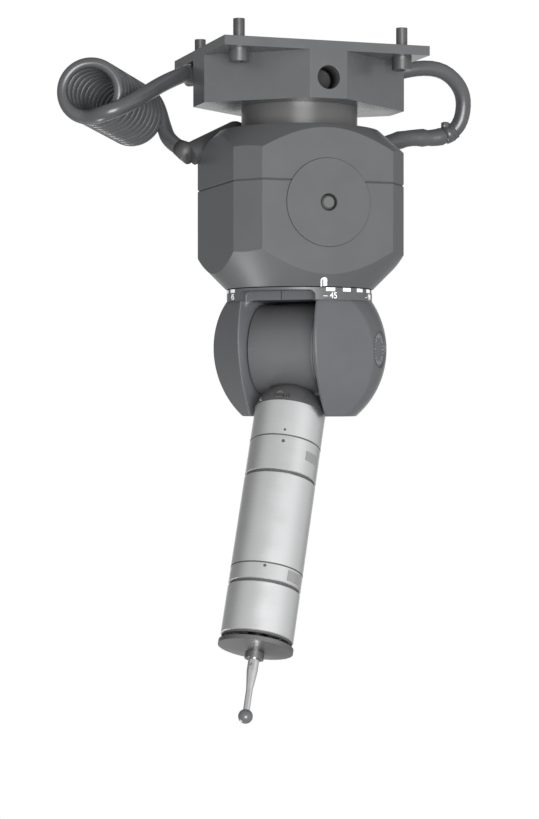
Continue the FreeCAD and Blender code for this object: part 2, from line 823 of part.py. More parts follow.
def cheeked_ball(name):
    slab = box(name + "_slab", "2 * ball", "2 * ball", "ball_cut + ball_drop", "-ball", "-ball", "-ball_cut")
    cheeks = [cheek(name + "_left", -1), cheek(name + "_right", 1)]
    return common(name, ball(name + "_ball", "ball"), slab, *cheeks)


def arched_way(name, back, foot, top, bend):
    """A way of the slot's width from the back out through the front, its upper corners round."""
    deep = "ball + (%s)" % back
    start = "-" + SLOT_HALF
    low = box(name + "_low", "slot_wide", deep, "%s - %s - (%s)" % (top, bend, foot), start, "-ball", foot)
    high = box(
        name + "_high", "slot_wide - 2 * " + bend, deep, "%s - (%s)" % (top, foot),
        start + " + " + bend, "-ball", foot,
    )
    rounds = [
        cylinder(
            name + ending, "2 * " + bend, deep, sign + "(" + SLOT_HALF + " - " + bend + ")",
            back, top + " - " + bend, ACROSS_Y,
        )
        for ending, sign in (("_left", "-"), ("_right", ""))
    ]
    return fuse(name, low, high, *rounds)


def relief(name):
    """The notch that lets the probe swing above level."""
    return arched_way(name, "-relief_at", "0", "relief_top", "relief_round")


fork_solid = fuse(
    "fork_solid",
    cheeked_ball("fork_ball"),
    cylinder("fork_hub", HUB, "ring_tall", "0", "0", "ball_drop"),
)
slot_box = arched_way("slot_box", "slot_back", "-ball", "slot_roof", "slot_round")
swing_way = cylinder("swing_way", "drum + 2 * swing_gap", "slot_wide", "-" + SLOT_HALF, "0", "0", ACROSS_X)
SEAT_DEEP = "ball - cap_at + cap_deep"
seats = []
for ending, start in (("left", "-ball"), ("right", "cap_at - cap_deep")):
    seats.append(
        cylinder(ending + "_cap_seat", "cap + 2 * fit_gap", SEAT_DEEP, start, "0", "0", ACROSS_X)
    )
bearing_way = cylinder("bearing_way", "shaft_bearing", "2 * cap_at", "-cap_at", "0", "0", ACROSS_X)
fork_tools = fuse("fork_tools", slot_box, swing_way, bearing_way, relief("fork_relief"), *seats)
fork = keep(cut("fork_cut", fork_solid, fork_tools), "swivel_fork")
fork.Placement = fork_place

ring_tube = cut(
    "ring_tube",
    cylinder("ring_outer", "ring", "ring_tall", "0", "0", "ball_drop"),
    cylinder("ring_inner", HUB, "ring_tall", "0", "0", "ball_drop"),
)
scale_ring = keep(cut("scale_ring_cut", ring_tube, relief("ring_relief")), "scale_ring")
scale_ring.Placement = fork_place

for ending, start in (("left", "-cap_at"), ("right", "cap_at - cap_deep")):
    cap_rod = cylinder(ending + "_cap_rod", "cap", "cap_deep", start, "0", "0", ACROSS_X)
    cap_trim = cheeked_ball(ending + "_cap_ball")
    side_cap = keep(common(ending + "_cap_common", cap_rod, cap_trim), ending + "_side_cap")
    side_cap.Placement = fork_place
    foot = SLOT_HALF if ending == "right" else "-" + SLOT_HALF + " - shaft_into"
    bush = cut(
        ending + "_bush",
        cylinder(ending + "_bush_outer", "shaft_bearing", "shaft_into", foot, "0", "0", ACROSS_X),
        cylinder(ending + "_bush_inner", "shaft + 2 * shaft_gap", "shaft_into", foot, "0", "0", ACROSS_X),
    )
    keep(bush, ending + "_tilt_bearing").Placement = fork_place

spindle = turned(
    "swivel_spindle",
    [
        ("spindle_bore / 2", FORK_TOP_LOCAL),
        ("spindle / 2", FORK_TOP_LOCAL),
        ("spindle / 2", FORK_TOP_LOCAL + " + spindle_above"),
        ("spindle_bore / 2", FORK_TOP_LOCAL + " + spindle_above"),
    ],
)
spindle.Placement = fork_place
MOVING_FOOT = INDEX_TOP + " + index_gap"
radial_vees(
    "moving_index_plate",
    index_washer("moving_index", "spindle", "index_ring", MOVING_FOOT, "index_tall"),
    MOVING_FOOT,
    False,
)

# Tilting drum with the ruled ring at its right end, on a shaft through both cheeks
DRUM_HALF = SLOT_HALF + " - drum_gap"
DRUM_LONG = "slot_wide - 2 * drum_gap - drum_ring"
drum_rod = cylinder("drum_rod", "drum", DRUM_LONG, "-(" + DRUM_HALF + ")", "0", "0", ACROSS_X)
drum_seat = ball("drum_seat", "collar_ball", "0", "0", "-collar_at")
shaft_way = cylinder("shaft_way", "shaft", "slot_wide", "-" + SLOT_HALF, "0", "0", ACROSS_X)
drum = keep(cut("drum_cut", drum_rod, fuse("drum_tools", drum_seat, shaft_way)), "tilt_drum")
drum.Placement = probe_place

ring_rod = cylinder("ring_rod", "drum", "drum_ring", DRUM_HALF + " - drum_ring", "0", "0", ACROSS_X)
ring_seat = ball("ring_seat", "collar_ball", "0", "0", "-collar_at")
ring_way = cylinder("ring_way", "shaft", "slot_wide", "-" + SLOT_HALF, "0", "0", ACROSS_X)
drum_ring = keep(cut("drum_ring_cut", ring_rod, fuse("ring_tools", ring_seat, ring_way)), "drum_end_ring")
drum_ring.Placement = probe_place

SHAFT_LONG = "slot_wide + 2 * shaft_into"
shaft = cylinder("shaft_rod", "shaft", SHAFT_LONG, "-" + SLOT_HALF + " - shaft_into", "0", "0", ACROSS_X)
keep(shaft, "tilt_shaft")
shaft.setExpression(".Placement.Base.x", None)
shaft.setExpression(".Placement.Base.y", None)
shaft.setExpression(".Placement.Base.z", None)
shaft.Placement = probe_place.multiply(Placement(Vector(-value(SLOT_HALF + " + shaft_into"), 0, 0), ACROSS_X))

# Domed joint collar with its socket, contact pins and lock cam
dome = ball("dome", "collar_ball", "0", "0", "-collar_at")
dome_top = box("dome_top", "2 * ball", "2 * ball", "ball", "-ball", "-ball", "-barrel_at")
socket = cylinder("socket", "spigot_ring + 2 * fit_gap", "socket_deep", "0", "0", "-barrel_at")
cam_way = cylinder("cam_way", "lock_cam + 2 * fit_gap", "collar_ball", "0", "0", "-lock_cam_at", ACROSS_Y)
collar = cut("collar_cut", common("collar_dome", dome, dome_top), fuse("collar_tools", socket, cam_way))
keep(collar, "joint_collar").Placement = probe_place

cam = doc.addObject("Part::Cylinder", "lock_cam_rod")
bind(cam, Radius="lock_cam / 2", Height="lock_cam_deep / 2")
cam.Placement = probe_place.multiply(
    Placement(Vector(0, -value("spigot_ring / 2 + 0.3"), -SIZES["lock_cam_at"]), ACROSS_Y)
)
keep(cam, "lock_cam")

pins = []
for number in range(8):
    angle = math.radians(45 * number)
    x = "pin_circle / 2 * %r" % round(math.cos(angle), 6)
    y = "pin_circle / 2 * %r" % round(math.sin(angle), 6)
    name = "contact_pin_%d" % (number + 1)
    pins.append(cylinder(name, "pin", "socket_deep - 0.3", x, y, "-barrel_at + 0.3"))
pin_group = doc.addObject("Part::Compound", "pin_group")
pin_group.Links = pins
keep(pin_group, "contact_pins").Placement = probe_place

RADIUS = "probe / 2"


def barrel(name, top, bottom, more=()):
    """A barrel section with a fine bevel at both ends; more points go up its top."""
    points = [
        ("0", "-(" + bottom + ")"),
        (RADIUS + " - edge", "-(" + bottom + ")"),
        (RADIUS, "-(" + bottom + ") + edge"),
        (RADIUS, "-(" + top + ") - edge"),
        (RADIUS + " - edge", "-(" + top + ")"),
    ]
    points += list(more)
    points.append(("0", "-(" + top + ")"))
    body = turned(name, points)
    body.Placement = probe_place
    return body


barrel(
    "adapter_barrel",
    "barrel_at",
    "joint_at",
    [
        ("spigot_ring / 2", "-barrel_at"),
        ("spigot_ring / 2", "-barrel_at + spigot_up"),
        ("spigot_ring_in / 2", "-barrel_at + spigot_up"),
        ("spigot_ring_in / 2", "-barrel_at"),
    ],
)
barrel("upper_band", "joint_at", "seal_at")
barrel("probe_barrel", "seal_at + seal_tall", "band_at")
barrel("lower_band", "band_at", "lower_seal_at")
for name, top in (("upper_seal", "seal_at"), ("lower_seal", "lower_seal_at")):
    seal = turned(
        name,
        [
            ("0", "-" + top + " - seal_tall"),
            (RADIUS + " - seal_in", "-" + top + " - seal_tall"),
            (RADIUS + " - seal_in", "-" + top),
            ("0", "-" + top),
        ],
    )
    seal.Placement = probe_place

# Scanning module: open shell, foot ring, gimbal, sleeve and the stylus carrier
MODULE_TOP = "lower_seal_at + seal_tall"
module = turned(
    "module_shell",
    [
        ("0", "-(" + MODULE_TOP + ")"),
        (RADIUS + " - edge", "-(" + MODULE_TOP + ")"),
        (RADIUS, "-(" + MODULE_TOP + ") - edge"),
        (RADIUS, "-module_end + edge"),
        (RADIUS + " - edge", "-module_end"),
        ("module_bore / 2", "-module_end"),
        ("module_bore / 2", "-(" + MODULE_TOP + ") - module_roof"),
        ("0", "-(" + MODULE_TOP + ") - module_roof"),
    ],
)
for number, (lift, flip) in enumerate((("0", False), ("0", True)), start=1):
    pocket(
        module, "pin_hole_%d" % number, "YZ_Plane", "gimbal_pin + 2 * pin_gap", "0", "-gimbal_at", lift,
        "(module_bore + probe) / 4 + 0.2", flip
    )
module.Placement = probe_place
foot = turned(
    "foot_ring",
    [
        ("module_bore / 2", "-module_end - foot_tall"),
        ("foot_ring / 2", "-module_end - foot_tall"),
        ("foot_ring / 2", "-module_end"),
        ("module_bore / 2", "-module_end"),
    ],
)
foot.Placement = probe_place

GIMBAL_FOOT = "-gimbal_at - gimbal_tall / 2"
PIN_REACH = "(module_bore + probe) / 4"
PIN_WAY = "gimbal_pin + 2 * pin_gap"
PIN_LONG = "2 * " + PIN_REACH
pin_bar = cylinder("gimbal_bar", "gimbal_pin", PIN_LONG, "-" + PIN_REACH, "0", "-gimbal_at", ACROSS_X)
gimbal_rim = cylinder("gimbal_rim", "gimbal_out", "gimbal_tall", "0", "0", GIMBAL_FOOT)
gimbal_eye = cylinder("gimbal_eye", "gimbal_in", "2 * gimbal_tall", "0", "0", "-gimbal_at - gimbal_tall")
gimbal_way = cylinder("gimbal_way", PIN_WAY, "2 * gimbal_out", "0", "gimbal_out", "-gimbal_at", ACROSS_Y)
gimbal_tools = fuse("gimbal_tools", gimbal_eye, gimbal_way)
gimbal = cut("gimbal_cut", fuse("gimbal_solid", gimbal_rim, pin_bar), gimbal_tools)
keep(gimbal, "gimbal_ring").Placement = probe_place

BAR_REACH = "(gimbal_in + gimbal_out) / 4"
SLEEVE_FOOT = "-gimbal_at - sleeve_tall"
sleeve_bar = cylinder("sleeve_bar", "gimbal_pin", "2 * " + BAR_REACH, "0", BAR_REACH, "-gimbal_at", ACROSS_Y)
TUBE_FOOT = SLEEVE_FOOT + " + sleeve_tall / 2"
sleeve_tube = cylinder("sleeve_tube", "sleeve_out", "sleeve_tall", "0", "0", TUBE_FOOT)
sleeve_bore = cylinder(
    "sleeve_bore", "carrier_rod + 2 * pin_gap", "2 * sleeve_tall", "0", "0", SLEEVE_FOOT
)
sleeve = cut("sleeve_cut", fuse("sleeve_solid", sleeve_tube, sleeve_bar), sleeve_bore)
keep(sleeve, "guide_sleeve").Placement = probe_place

holder = turned(
    "stylus_holder",
    [
        ("stem / 2 + 0.4", "-hub_end"),
        ("hub / 2", "-hub_end"),
        ("hub / 2", "-holder_at - holder_rim - holder_cone"),
        ("holder / 2", "-holder_at - holder_rim"),
        ("holder / 2", "-holder_at"),
        ("carrier_rod / 2", "-holder_at"),
        ("carrier_rod / 2", "-carrier_top"),
        ("carrier_head / 2", "-carrier_top"),
        ("carrier_head / 2", "-carrier_top + carrier_head_tall"),
        ("0", "-carrier_top + carrier_head_tall"),
        ("0", "-hub_end + 4"),
        ("stem / 2 + 0.4", "-hub_end + 4"),
    ],
)
holder.Placement = probe_place
stem = turned(
    "stem_turned",
    [
        ("0", "-ball_at"),
        ("stem / 2", "-ball_at"),
        ("stem / 2", "-stem_taper_end"),
        ("stem_base / 2", "-stem_base_end"),
        ("stem_base / 2", "-hub_end"),
        ("stem / 2 + 0.35", "-hub_end"),
        ("stem / 2 + 0.35", "-hub_end + 3.7"),
        ("0", "-hub_end + 3.7"),
    ],
)
del pieces["stem_turned"]
stem_tools = fuse(
    "stem_tools",
    ball("stem_cup", "stylus_ball", "0", "0", "-ball_at"),
    cylinder("stem_hole", "stem_cross_hole", "stem_base", "0", "stem_base / 2", "-stem_hole_at", ACROSS_Y),
)
keep(cut("stem_cut", stem, stem_tools), "stylus_stem").Placement = probe_place
tip = doc.addObject("Part::Sphere", "tip_ball")
bind(tip, Radius="stylus_ball / 2")
tip.Placement = probe_place.multiply(Placement(Vector(0, 0, -SIZES["ball_at"]), Rotation()))
keep(tip, "stylus_ball")


# Check the document, then write one file for each sub-part
doc.recompute()
faults = []
for item in doc.Objects:
    if "Invalid" in item.State or "Error" in item.State:
        faults.append(item.Name)
for name, item in pieces.items():
    if item.Shape.isNull() or not item.Shape.isValid():
        faults.append(name)
if faults:
    raise RuntimeError("failed: " + ", ".join(faults))
for name, item in pieces.items():
    item.Shape.exportStep("parts/%s.step" % name)
    print("%-20s solids %d volume %.1f" % (name, len(item.Shape.Solids), item.Shape.Volume))
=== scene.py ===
"""Looks of a motorised indexing probe head with a scanning probe and a ball stylus."""
import math

import bmesh
import bpy
from mathutils import Matrix, Vector


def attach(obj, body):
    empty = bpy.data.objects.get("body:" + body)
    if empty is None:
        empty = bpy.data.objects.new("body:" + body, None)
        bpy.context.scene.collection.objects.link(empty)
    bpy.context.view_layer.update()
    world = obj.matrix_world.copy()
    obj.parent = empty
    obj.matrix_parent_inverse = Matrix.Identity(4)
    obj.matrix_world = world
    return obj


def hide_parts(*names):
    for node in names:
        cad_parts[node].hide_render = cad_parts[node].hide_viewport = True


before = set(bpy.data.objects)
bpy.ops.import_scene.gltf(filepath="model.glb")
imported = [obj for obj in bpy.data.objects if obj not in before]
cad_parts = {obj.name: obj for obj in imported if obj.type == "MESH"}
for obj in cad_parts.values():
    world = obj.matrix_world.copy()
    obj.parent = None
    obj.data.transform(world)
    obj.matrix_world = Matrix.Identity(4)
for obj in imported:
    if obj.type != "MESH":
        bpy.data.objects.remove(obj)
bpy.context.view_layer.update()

bl_info = {
    "name": "Probe head",
    "version": (1, 0, 0),
    "blender": (4, 5, 0),
    "location": "View3D > Sidebar > Probe head",
    "description": "Finishes, marks, cords and stage for an indexing probe head",
    "category": "Add Mesh",
}

MM = 0.001
UP = Vector((0, 0, 1))
UPRIGHT = Matrix.Identity(4)
# Turns a flat shape in X and Y, so that it faces the front
FACING_FRONT = Matrix.Rotation(math.radians(90), 4, "X")

# The fork's own frame, and the tilted probe's own frame, as they stand at rest
FORK = Matrix.Translation((0, 0, -0.1057)) @ Matrix.Rotation(math.radians(-40), 4, "Z")
PROBE = FORK @ Matrix.Rotation(math.radians(-22.5), 4, "X")

# Route points of the cords, in millimetres
LEFT_EXIT = (-38.2, 13.6, -7.0)
UPPER_ROUTE = [
    LEFT_EXIT,
    (-46.9, 8.2, -10.6),
    (-61.4, 0.0, -20.0),
    (-70.9, -1.0, -24.2),
]
COIL_FRONT = Vector((-76.5, 6.4, -14.8))
COIL_REAR = Vector((-50.0, 36.0, -20.2))
LOWER_ROUTE = [
    (-41.8, 30.4, -23.6),
    (-40.2, 27.5, -30.5),
    (-34.3, 20.5, -34.8),
]
RIGHT_EXIT = (41.3, 9.8, -3.4)
RIGHT_ROUTE = [
    RIGHT_EXIT,
    (54.7, 7.6, 0.7),
    (68.9, 11.0, -7.4),
    (69.5, 14.4, -21.0),
    (61.6, 16.4, -26.2),
    (47.1, 16.4, -25.8),
    (36.4, 15.6, -30.2),
]

# The coil: the level way that its turns face, the spline's points in a turn, the points over
# which its strand thins, and how far outside the turn they lie because the spline cuts inside
COIL_FACING = Vector((0.42, 0.91, 0.0)).normalized()
COIL_TURN_POINTS = 14
COIL_THINNING = 3
COIL_OUTSIDE = 1.02

# The scale: where its first dash stands, from the front towards the right, the ring's top over
# the fork's centre, the arc over the fork's slot that stays bare, in degrees, the degrees from
# number to number, a figure's share of its letter's size, and the minus, an en dash and a space
FIRST_DASH = math.radians(5.3)
RING_TOP = 21.2 * MM
BARE_ARC = (-74, -6)
FIGURE_STEP = 45
FIGURE_SHARE = 0.7
MINUS = chr(0x2013) + " "

# The index mark's place: turned round the axis, set on the lower cone, laid back and straightened
INDEX_PLACE = (
    Matrix.Rotation(math.radians(-1.7), 4, "Z")
    @ Matrix.Translation((0, -27.8 * MM, -82.7 * MM))
    @ Matrix.Rotation(math.radians(45), 4, "X")
    @ Matrix.Rotation(math.radians(-13), 4, "Y")
)

# The fork's slot in the fork's frame: half its width, how far back and up its walls reach, the
# width over which their painted light fades, and how much lighter than the fork the painted light
# makes them
SLOT_SIDE = 14.3 * MM
SLOT_BACK = 2.0 * MM
SLOT_TOP = 16.8 * MM
SLOT_FADE = 0.2 * MM
SLOT_LIGHT_GAIN = 1.7

# The drum's ruled end: its radius, and each ruling's place along the tilt axis in millimetres
RULED_RADIUS = 16.21 * MM
RULINGS = (9.95, 10.75, 11.55, 12.35, 13.05)
# The fork's side caps: how far out their faces are, and the marks on each
CAP_FACE = 29.86 * MM
CAP_MARKS = 24
# The probe's barrel, and the way its dots face
BARREL_RADIUS = 12.5 * MM
DOTS_FACE = math.radians(18)

# Stage: floor, how bright the sky is at two heights of a direction, and the camera
FLOOR_RADIUS = 0.62
FLOOR_LEVEL = -0.52
SKY_LOW = (-0.5, 0.48)
SKY_HIGH = (0.8, 0.12)
LAMP_AIM = Vector((0, 0, -0.1))
CAMERA_PLACE = (-0.25518, -0.72522, -0.12261)
CAMERA_LOOK = Vector((0.3188, 0.9478, -0.0056))
CAMERA_LENS = 94.62
CAMERA_FILM = 36.0
# Soft windows of the studio: heading from the front towards the right, rise, outer and inner
# angle, all in degrees, and brightness. The backdrop is such a window of full white.
SOFT_WINDOWS = (
    (-20, 32, 105, 40, 0.48),
    (66, 12, 60, 20, 0.38),
)
BACKDROP = (161.4, 0, 27, 18)
# Lamps: name, place, width, height and power
LAMPS = (
    ("front_box", (-0.33, -1.55, -0.31), 1.0, 0.8, 33.5),
    ("cone_glint", (-0.185, 0.18, -0.486), 0.11, 0.11, 0.65),
)


class HEAD_PG_sizes(bpy.types.PropertyGroup):
    """Sizes a user would change."""

    cord: bpy.props.FloatProperty(
        name="Cord", description="Cord diameter", default=5.7 * MM, unit="LENGTH"
    )
    strand: bpy.props.FloatProperty(
        name="Coil strand", description="Diameter in the coil", default=3.9 * MM, unit="LENGTH"
    )
    turns: bpy.props.IntProperty(
        name="Turns", description="Turns in the coiled cord", default=11
    )
    turn_radius: bpy.props.FloatProperty(
        name="Turn radius",
        description="Radius of the coil at its strand's middle",
        default=9.75 * MM,
        unit="LENGTH",
    )
    ring: bpy.props.FloatProperty(
        name="Scale ring", description="Scale ring diameter", default=51.8 * MM, unit="LENGTH"
    )
    step: bpy.props.FloatProperty(
        name="Dash step",
        description="Angle between dashes",
        default=math.radians(15),
        subtype="ANGLE",
    )
    dash: bpy.props.FloatProperty(
        name="Dash width",
        description="Angle that a dash covers",
        default=math.radians(7.7),
        subtype="ANGLE",
    )
    figure: bpy.props.FloatProperty(
        name="Figure height",
        description="Height of the degree numbers",
        default=2.1 * MM,
        unit="LENGTH",
    )


class HEAD_PG_colours(bpy.types.PropertyGroup):
    """Colours of the main finishes."""

    housing: bpy.props.FloatVectorProperty(
        name="Housing",
        description="Housing paint",
        default=(0.08, 0.083, 0.086),
        subtype="COLOR",
    )
    fork: bpy.props.FloatVectorProperty(
        name="Fork", description="Fork paint", default=(0.086, 0.088, 0.093), subtype="COLOR"
    )
    block: bpy.props.FloatVectorProperty(
        name="Block", description="Anodised block", default=(0.074, 0.077, 0.08), subtype="COLOR"
    )
    barrel: bpy.props.FloatVectorProperty(
        name="Barrel",
        description="Turned barrel metal",
        default=(0.69, 0.695, 0.7),
        subtype="COLOR",
    )
    cord: bpy.props.FloatVectorProperty(
        name="Cord", description="Cord skin", default=(0.054, 0.055, 0.058), subtype="COLOR"
    )


def sizes():
    return bpy.context.scene.head_sizes


def colours():
    return bpy.context.scene.head_colours


# Finishes


def new_finish(name, colour, rough, metal):
    """A new material, its shader, and the socket that gives places on the piece."""
    mat = bpy.data.materials.new(name)
    mat.use_nodes = True
    shader = mat.node_tree.nodes["Principled BSDF"]
    shader.inputs["Base Color"].default_value = (*colour, 1)
    shader.inputs["Roughness"].default_value = rough
    shader.inputs["Metallic"].default_value = metal
    return mat, shader, mat.node_tree.nodes.new("ShaderNodeTexCoord").outputs["Object"]


def noise(mat, place, scale, detail=2):
    """A noise over the given places."""
    texture = mat.node_tree.nodes.new("ShaderNodeTexNoise")
    texture.inputs["Scale"].default_value = scale
    texture.inputs["Detail"].default_value = detail
    mat.node_tree.links.new(place, texture.inputs["Vector"])
    return texture.outputs["Fac"]


def vary_tone(mat, shader, wave, colour, spread, ends):
    """The colour goes from darker to lighter between two values of the noise."""
    tone = mat.node_tree.nodes.new("ShaderNodeValToRGB")
    for element, end, gain in zip(tone.color_ramp.elements, ends, (1 - spread, 1 + spread)):
        element.position = end
        element.color = (*[min(1, channel * gain) for channel in colour], 1)
    mat.node_tree.links.new(wave, tone.inputs["Fac"])
    mat.node_tree.links.new(tone.outputs["Color"], shader.inputs["Base Color"])


def vary_gloss(mat, shader, wave, rough, spread):
    """The roughness follows the noise, and never comes down to a mirror's."""
    dull = mat.node_tree.nodes.new("ShaderNodeMapRange")
    dull.inputs["To Min"].default_value = max(0.02, rough - spread)
    dull.inputs["To Max"].default_value = rough + spread
    mat.node_tree.links.new(wave, dull.inputs["Value"])
    mat.node_tree.links.new(dull.outputs["Result"], shader.inputs["Roughness"])


def raise_grain(mat, shader, wave, strength, depth):
    """The noise as fine relief, up to a depth in metres."""
    relief = mat.node_tree.nodes.new("ShaderNodeBump")
    relief.inputs["Strength"].default_value = strength
    relief.inputs["Distance"].default_value = depth
    mat.node_tree.links.new(wave, relief.inputs["Height"])
    mat.node_tree.links.new(relief.outputs["Normal"], shader.inputs["Normal"])
    return relief


def into_frame(mat, place, own_frame):
    """Places on the piece, as the given frame sees them."""
    mapping = mat.node_tree.nodes.new("ShaderNodeMapping")
    mapping.vector_type = "TEXTURE"
    mapping.inputs["Location"].default_value = own_frame.to_translation()
    mapping.inputs["Rotation"].default_value = own_frame.to_euler()
    mat.node_tree.links.new(place, mapping.inputs["Vector"])
    return mapping.outputs["Vector"]


def paint(name, colour, rough, grain=2500, bump=0.02, cloud=0.05, metal=0.0, coat=0.0,
          soft=0.0, shine=0.5):
    """Paint or anodising: fine grain, faint clouds in its tone, edges shaded soft."""
    mat, shader, place = new_finish(name, colour, rough, metal)
    shader.inputs["Specular IOR Level"].default_value = shine
    shader.inputs["Coat Weight"].default_value = coat
    shader.inputs["Coat Roughness"].default_value = 0.25
    fine = noise(mat, place, grain, detail=3)
    broad = noise(mat, place, 90)
    vary_tone(mat, shader, broad, colour, cloud, (0.3, 0.7))
    vary_gloss(mat, shader, broad, rough, 0.05)
    relief = raise_grain(mat, shader, fine, bump, 0.2 * MM)
    if soft:
        edge = mat.node_tree.nodes.new("ShaderNodeBevel")
        edge.samples = 8
        edge.inputs["Radius"].default_value = soft
        mat.node_tree.links.new(edge.outputs["Normal"], relief.inputs["Normal"])
        mat.node_tree.links.new(edge.outputs["Normal"], shader.inputs["Coat Normal"])
    return mat


def turned_metal(name, colour, rough, own_frame, pitch=5200, bump=0.05, metal=1.0):
    """Lathe-turned metal: fine rings along the axis of the given frame."""
    mat, shader, place = new_finish(name, colour, rough, metal)
    stretch = mat.node_tree.nodes.new("ShaderNodeMapping")
    stretch.inputs["Scale"].default_value = (0.02, 0.02, 1)
    mat.node_tree.links.new(into_frame(mat, place, own_frame), stretch.inputs["Vector"])
    rings = noise(mat, stretch.outputs["Vector"], pitch)
    broad = noise(mat, place, 120)
    vary_tone(mat, shader, rings, colour, 0.06, (0.0, 1.0))
    vary_gloss(mat, shader, broad, rough, 0.06)
    raise_grain(mat, shader, rings, bump, 0.1 * MM)
    return mat


def pale_slot(mat):
    """Painted light: the walls of the fork's slot are painted lighter than the fork, standing in
    for light reaching them.
    """
    nodes = mat.node_tree.nodes
    links = mat.node_tree.links
    shader = nodes["Principled BSDF"]
    place = nodes.new("ShaderNodeTexCoord").outputs["Object"]
    split = nodes.new("ShaderNodeSeparateXYZ")
    links.new(into_frame(mat, place, FORK), split.inputs["Vector"])
    aside = nodes.new("ShaderNodeMath")
    aside.operation = "ABSOLUTE"
    links.new(split.outputs["X"], aside.inputs[0])
    inside = None
    reaches = (
        (aside.outputs["Value"], SLOT_SIDE),
        (split.outputs["Y"], SLOT_BACK),
        (split.outputs["Z"], SLOT_TOP),
    )
    for source, limit in reaches:
        edge = nodes.new("ShaderNodeMapRange")
        edge.inputs["From Min"].default_value = limit
        edge.inputs["From Max"].default_value = limit - SLOT_FADE
        links.new(source, edge.inputs["Value"])
        if inside is None:
            inside = edge.outputs["Result"]
            continue
        both = nodes.new("ShaderNodeMath")
        both.operation = "MULTIPLY"
        links.new(inside, both.inputs[0])
        links.new(edge.outputs["Result"], both.inputs[1])
        inside = both.outputs["Value"]
    # Painted light: the slot's walls take a lighter copy of the fork's colour
    slot_light = nodes.new("ShaderNodeMix")
    slot_light.data_type = "RGBA"
    painted = shader.inputs["Base Color"].links[0].from_socket
    slot_light.inputs["B"].default_value = (*[channel * SLOT_LIGHT_GAIN for channel in colours().fork], 1)
    links.new(inside, slot_light.inputs["Factor"])
    links.new(painted, slot_light.inputs["A"])
    links.new(slot_light.outputs["Result"], shader.inputs["Base Color"])
    return mat


def fork_paint(name):
    """The fork's paint, its edges rounder than the housing's, with painted light on the slot's
    walls.
    """
    tone = colours().fork
    return pale_slot(paint(name, tone, 0.3, grain=3000, cloud=0.03, soft=1.4 * MM, shine=0.2))


def housing_paint(name):
    tone = colours().housing
    return paint(name, tone, 0.36, grain=3000, bump=0.025, cloud=0.03, soft=0.3 * MM, shine=0.22)


def block_anodised(name):
    return paint(name, colours().block, 0.27, grain=3800, soft=0.2 * MM, shine=0.45)


def cord_skin(name):
    return paint(name, colours().cord, 0.3, grain=1400, bump=0.04, cloud=0.12, coat=0.25)


def shrink_sleeve(name):
    return paint(name, colours().cord, 0.36, grain=700, bump=0.12, cloud=0.15)


def cap_paint(name):
    return paint(name, colours().fork, 0.3, grain=3000, cloud=0.03)


def ring_paint(name):
    """The scale ring is a little darker than the fork."""
    tone = [channel * 0.88 for channel in colours().fork]
    return paint(name, tone, 0.38, grain=3000, cloud=0.04)


def barrel_metal(name):
    return turned_metal(name, colours().barrel, 0.36, PROBE)


def band_metal(name):
    return turned_metal(name, colours().barrel, 0.3, PROBE, pitch=7000)


# Finishes that take their colour from the panel
PANEL_FINISHES = {
    maker.__name__: maker
    for maker in (
        fork_paint, housing_paint, block_anodised, cord_skin, shrink_sleeve, cap_paint,
        ring_paint, barrel_metal, band_metal,
    )
}
# Painted, anodised, rubber and plastic finishes: colour, roughness and paint's other settings
PAINTS = {
    "black_oxide": ((0.09, 0.09, 0.092), 0.34, {"grain": 5000, "cloud": 0.15, "metal": 0.6}),
    # Painted shade: the clamp screw, deep in its hole, is painted darker and duller than the
    # other screws
    "shaded_hole_black": ((0.04, 0.04, 0.04), 0.7, {"shine": 0.1}),
    "lamp_lens": (
        (0.075, 0.075, 0.077), 0.4, {"grain": 900, "bump": 0.01, "cloud": 0.08, "coat": 0.15}
    ),
    "drive_case": ((0.06, 0.06, 0.062), 0.45, {}),
    "board_green": ((0.03, 0.12, 0.06), 0.5, {"grain": 600, "cloud": 0.2}),
    "boot_rubber": ((0.05, 0.05, 0.052), 0.5, {"grain": 1200, "bump": 0.08, "cloud": 0.1}),
    "plug_black": ((0.07, 0.07, 0.072), 0.4, {"grain": 2600, "cloud": 0.08}),
    "drum_paint": ((0.082, 0.083, 0.087), 0.42, {"grain": 3600, "bump": 0.04, "cloud": 0.03}),
    "collar_black": ((0.07, 0.07, 0.072), 0.36, {"grain": 3600, "cloud": 0.08}),
    "seal_black": ((0.06, 0.06, 0.062), 0.55, {"grain": 1600}),
    "tip_ball": (
        (0.09, 0.092, 0.095), 0.3, {"grain": 500, "bump": 0.0, "cloud": 0.1, "coat": 0.3}
    ),
    "mark_white": ((0.86, 0.86, 0.86), 0.5, {"grain": 4000, "bump": 0.01, "cloud": 0.02}),
    # Dark lines, slit and tick, and the painted shade that lines the clamp screw's hole
    "dark_line_and_shade": ((0.025, 0.025, 0.025), 0.6, {"grain": 3000, "shine": 0.2}),
    "ruling_dark": ((0.03, 0.03, 0.031), 0.4, {}),
    "cap_marks": ((0.35, 0.35, 0.352), 0.45, {}),
    "dot_black": ((0.05, 0.05, 0.05), 0.5, {}),
    "plate_grey": ((0.2, 0.2, 0.203), 0.4, {"grain": 3000, "cloud": 0.06}),
    "pale_floor": ((0.8, 0.8, 0.8), 0.8, {"grain": 300, "cloud": 0.01}),
}
# Turned finishes: colour, roughness, the frame they were turned in and their other settings
TURNED = {
    "neck_anodised": ((0.077, 0.077, 0.079), 0.34, UPRIGHT, {"metal": 0.1, "bump": 0.03}),
    "inner_steel": ((0.5, 0.5, 0.5), 0.35, UPRIGHT, {}),
    "bearing_steel": ((0.6, 0.6, 0.6), 0.2, UPRIGHT, {}),
    "contact_gold": ((0.8, 0.55, 0.2), 0.25, PROBE, {}),
    "holder_metal": ((0.2, 0.2, 0.204), 0.36, PROBE, {"pitch": 2600, "bump": 0.08}),
    "stem_metal": ((0.62, 0.62, 0.62), 0.13, PROBE, {"pitch": 6000}),
    "ruled_steel": ((0.16, 0.16, 0.163), 0.32, PROBE, {"metal": 0.6}),
    "lock_steel": ((0.2, 0.2, 0.2), 0.4, PROBE, {}),
}
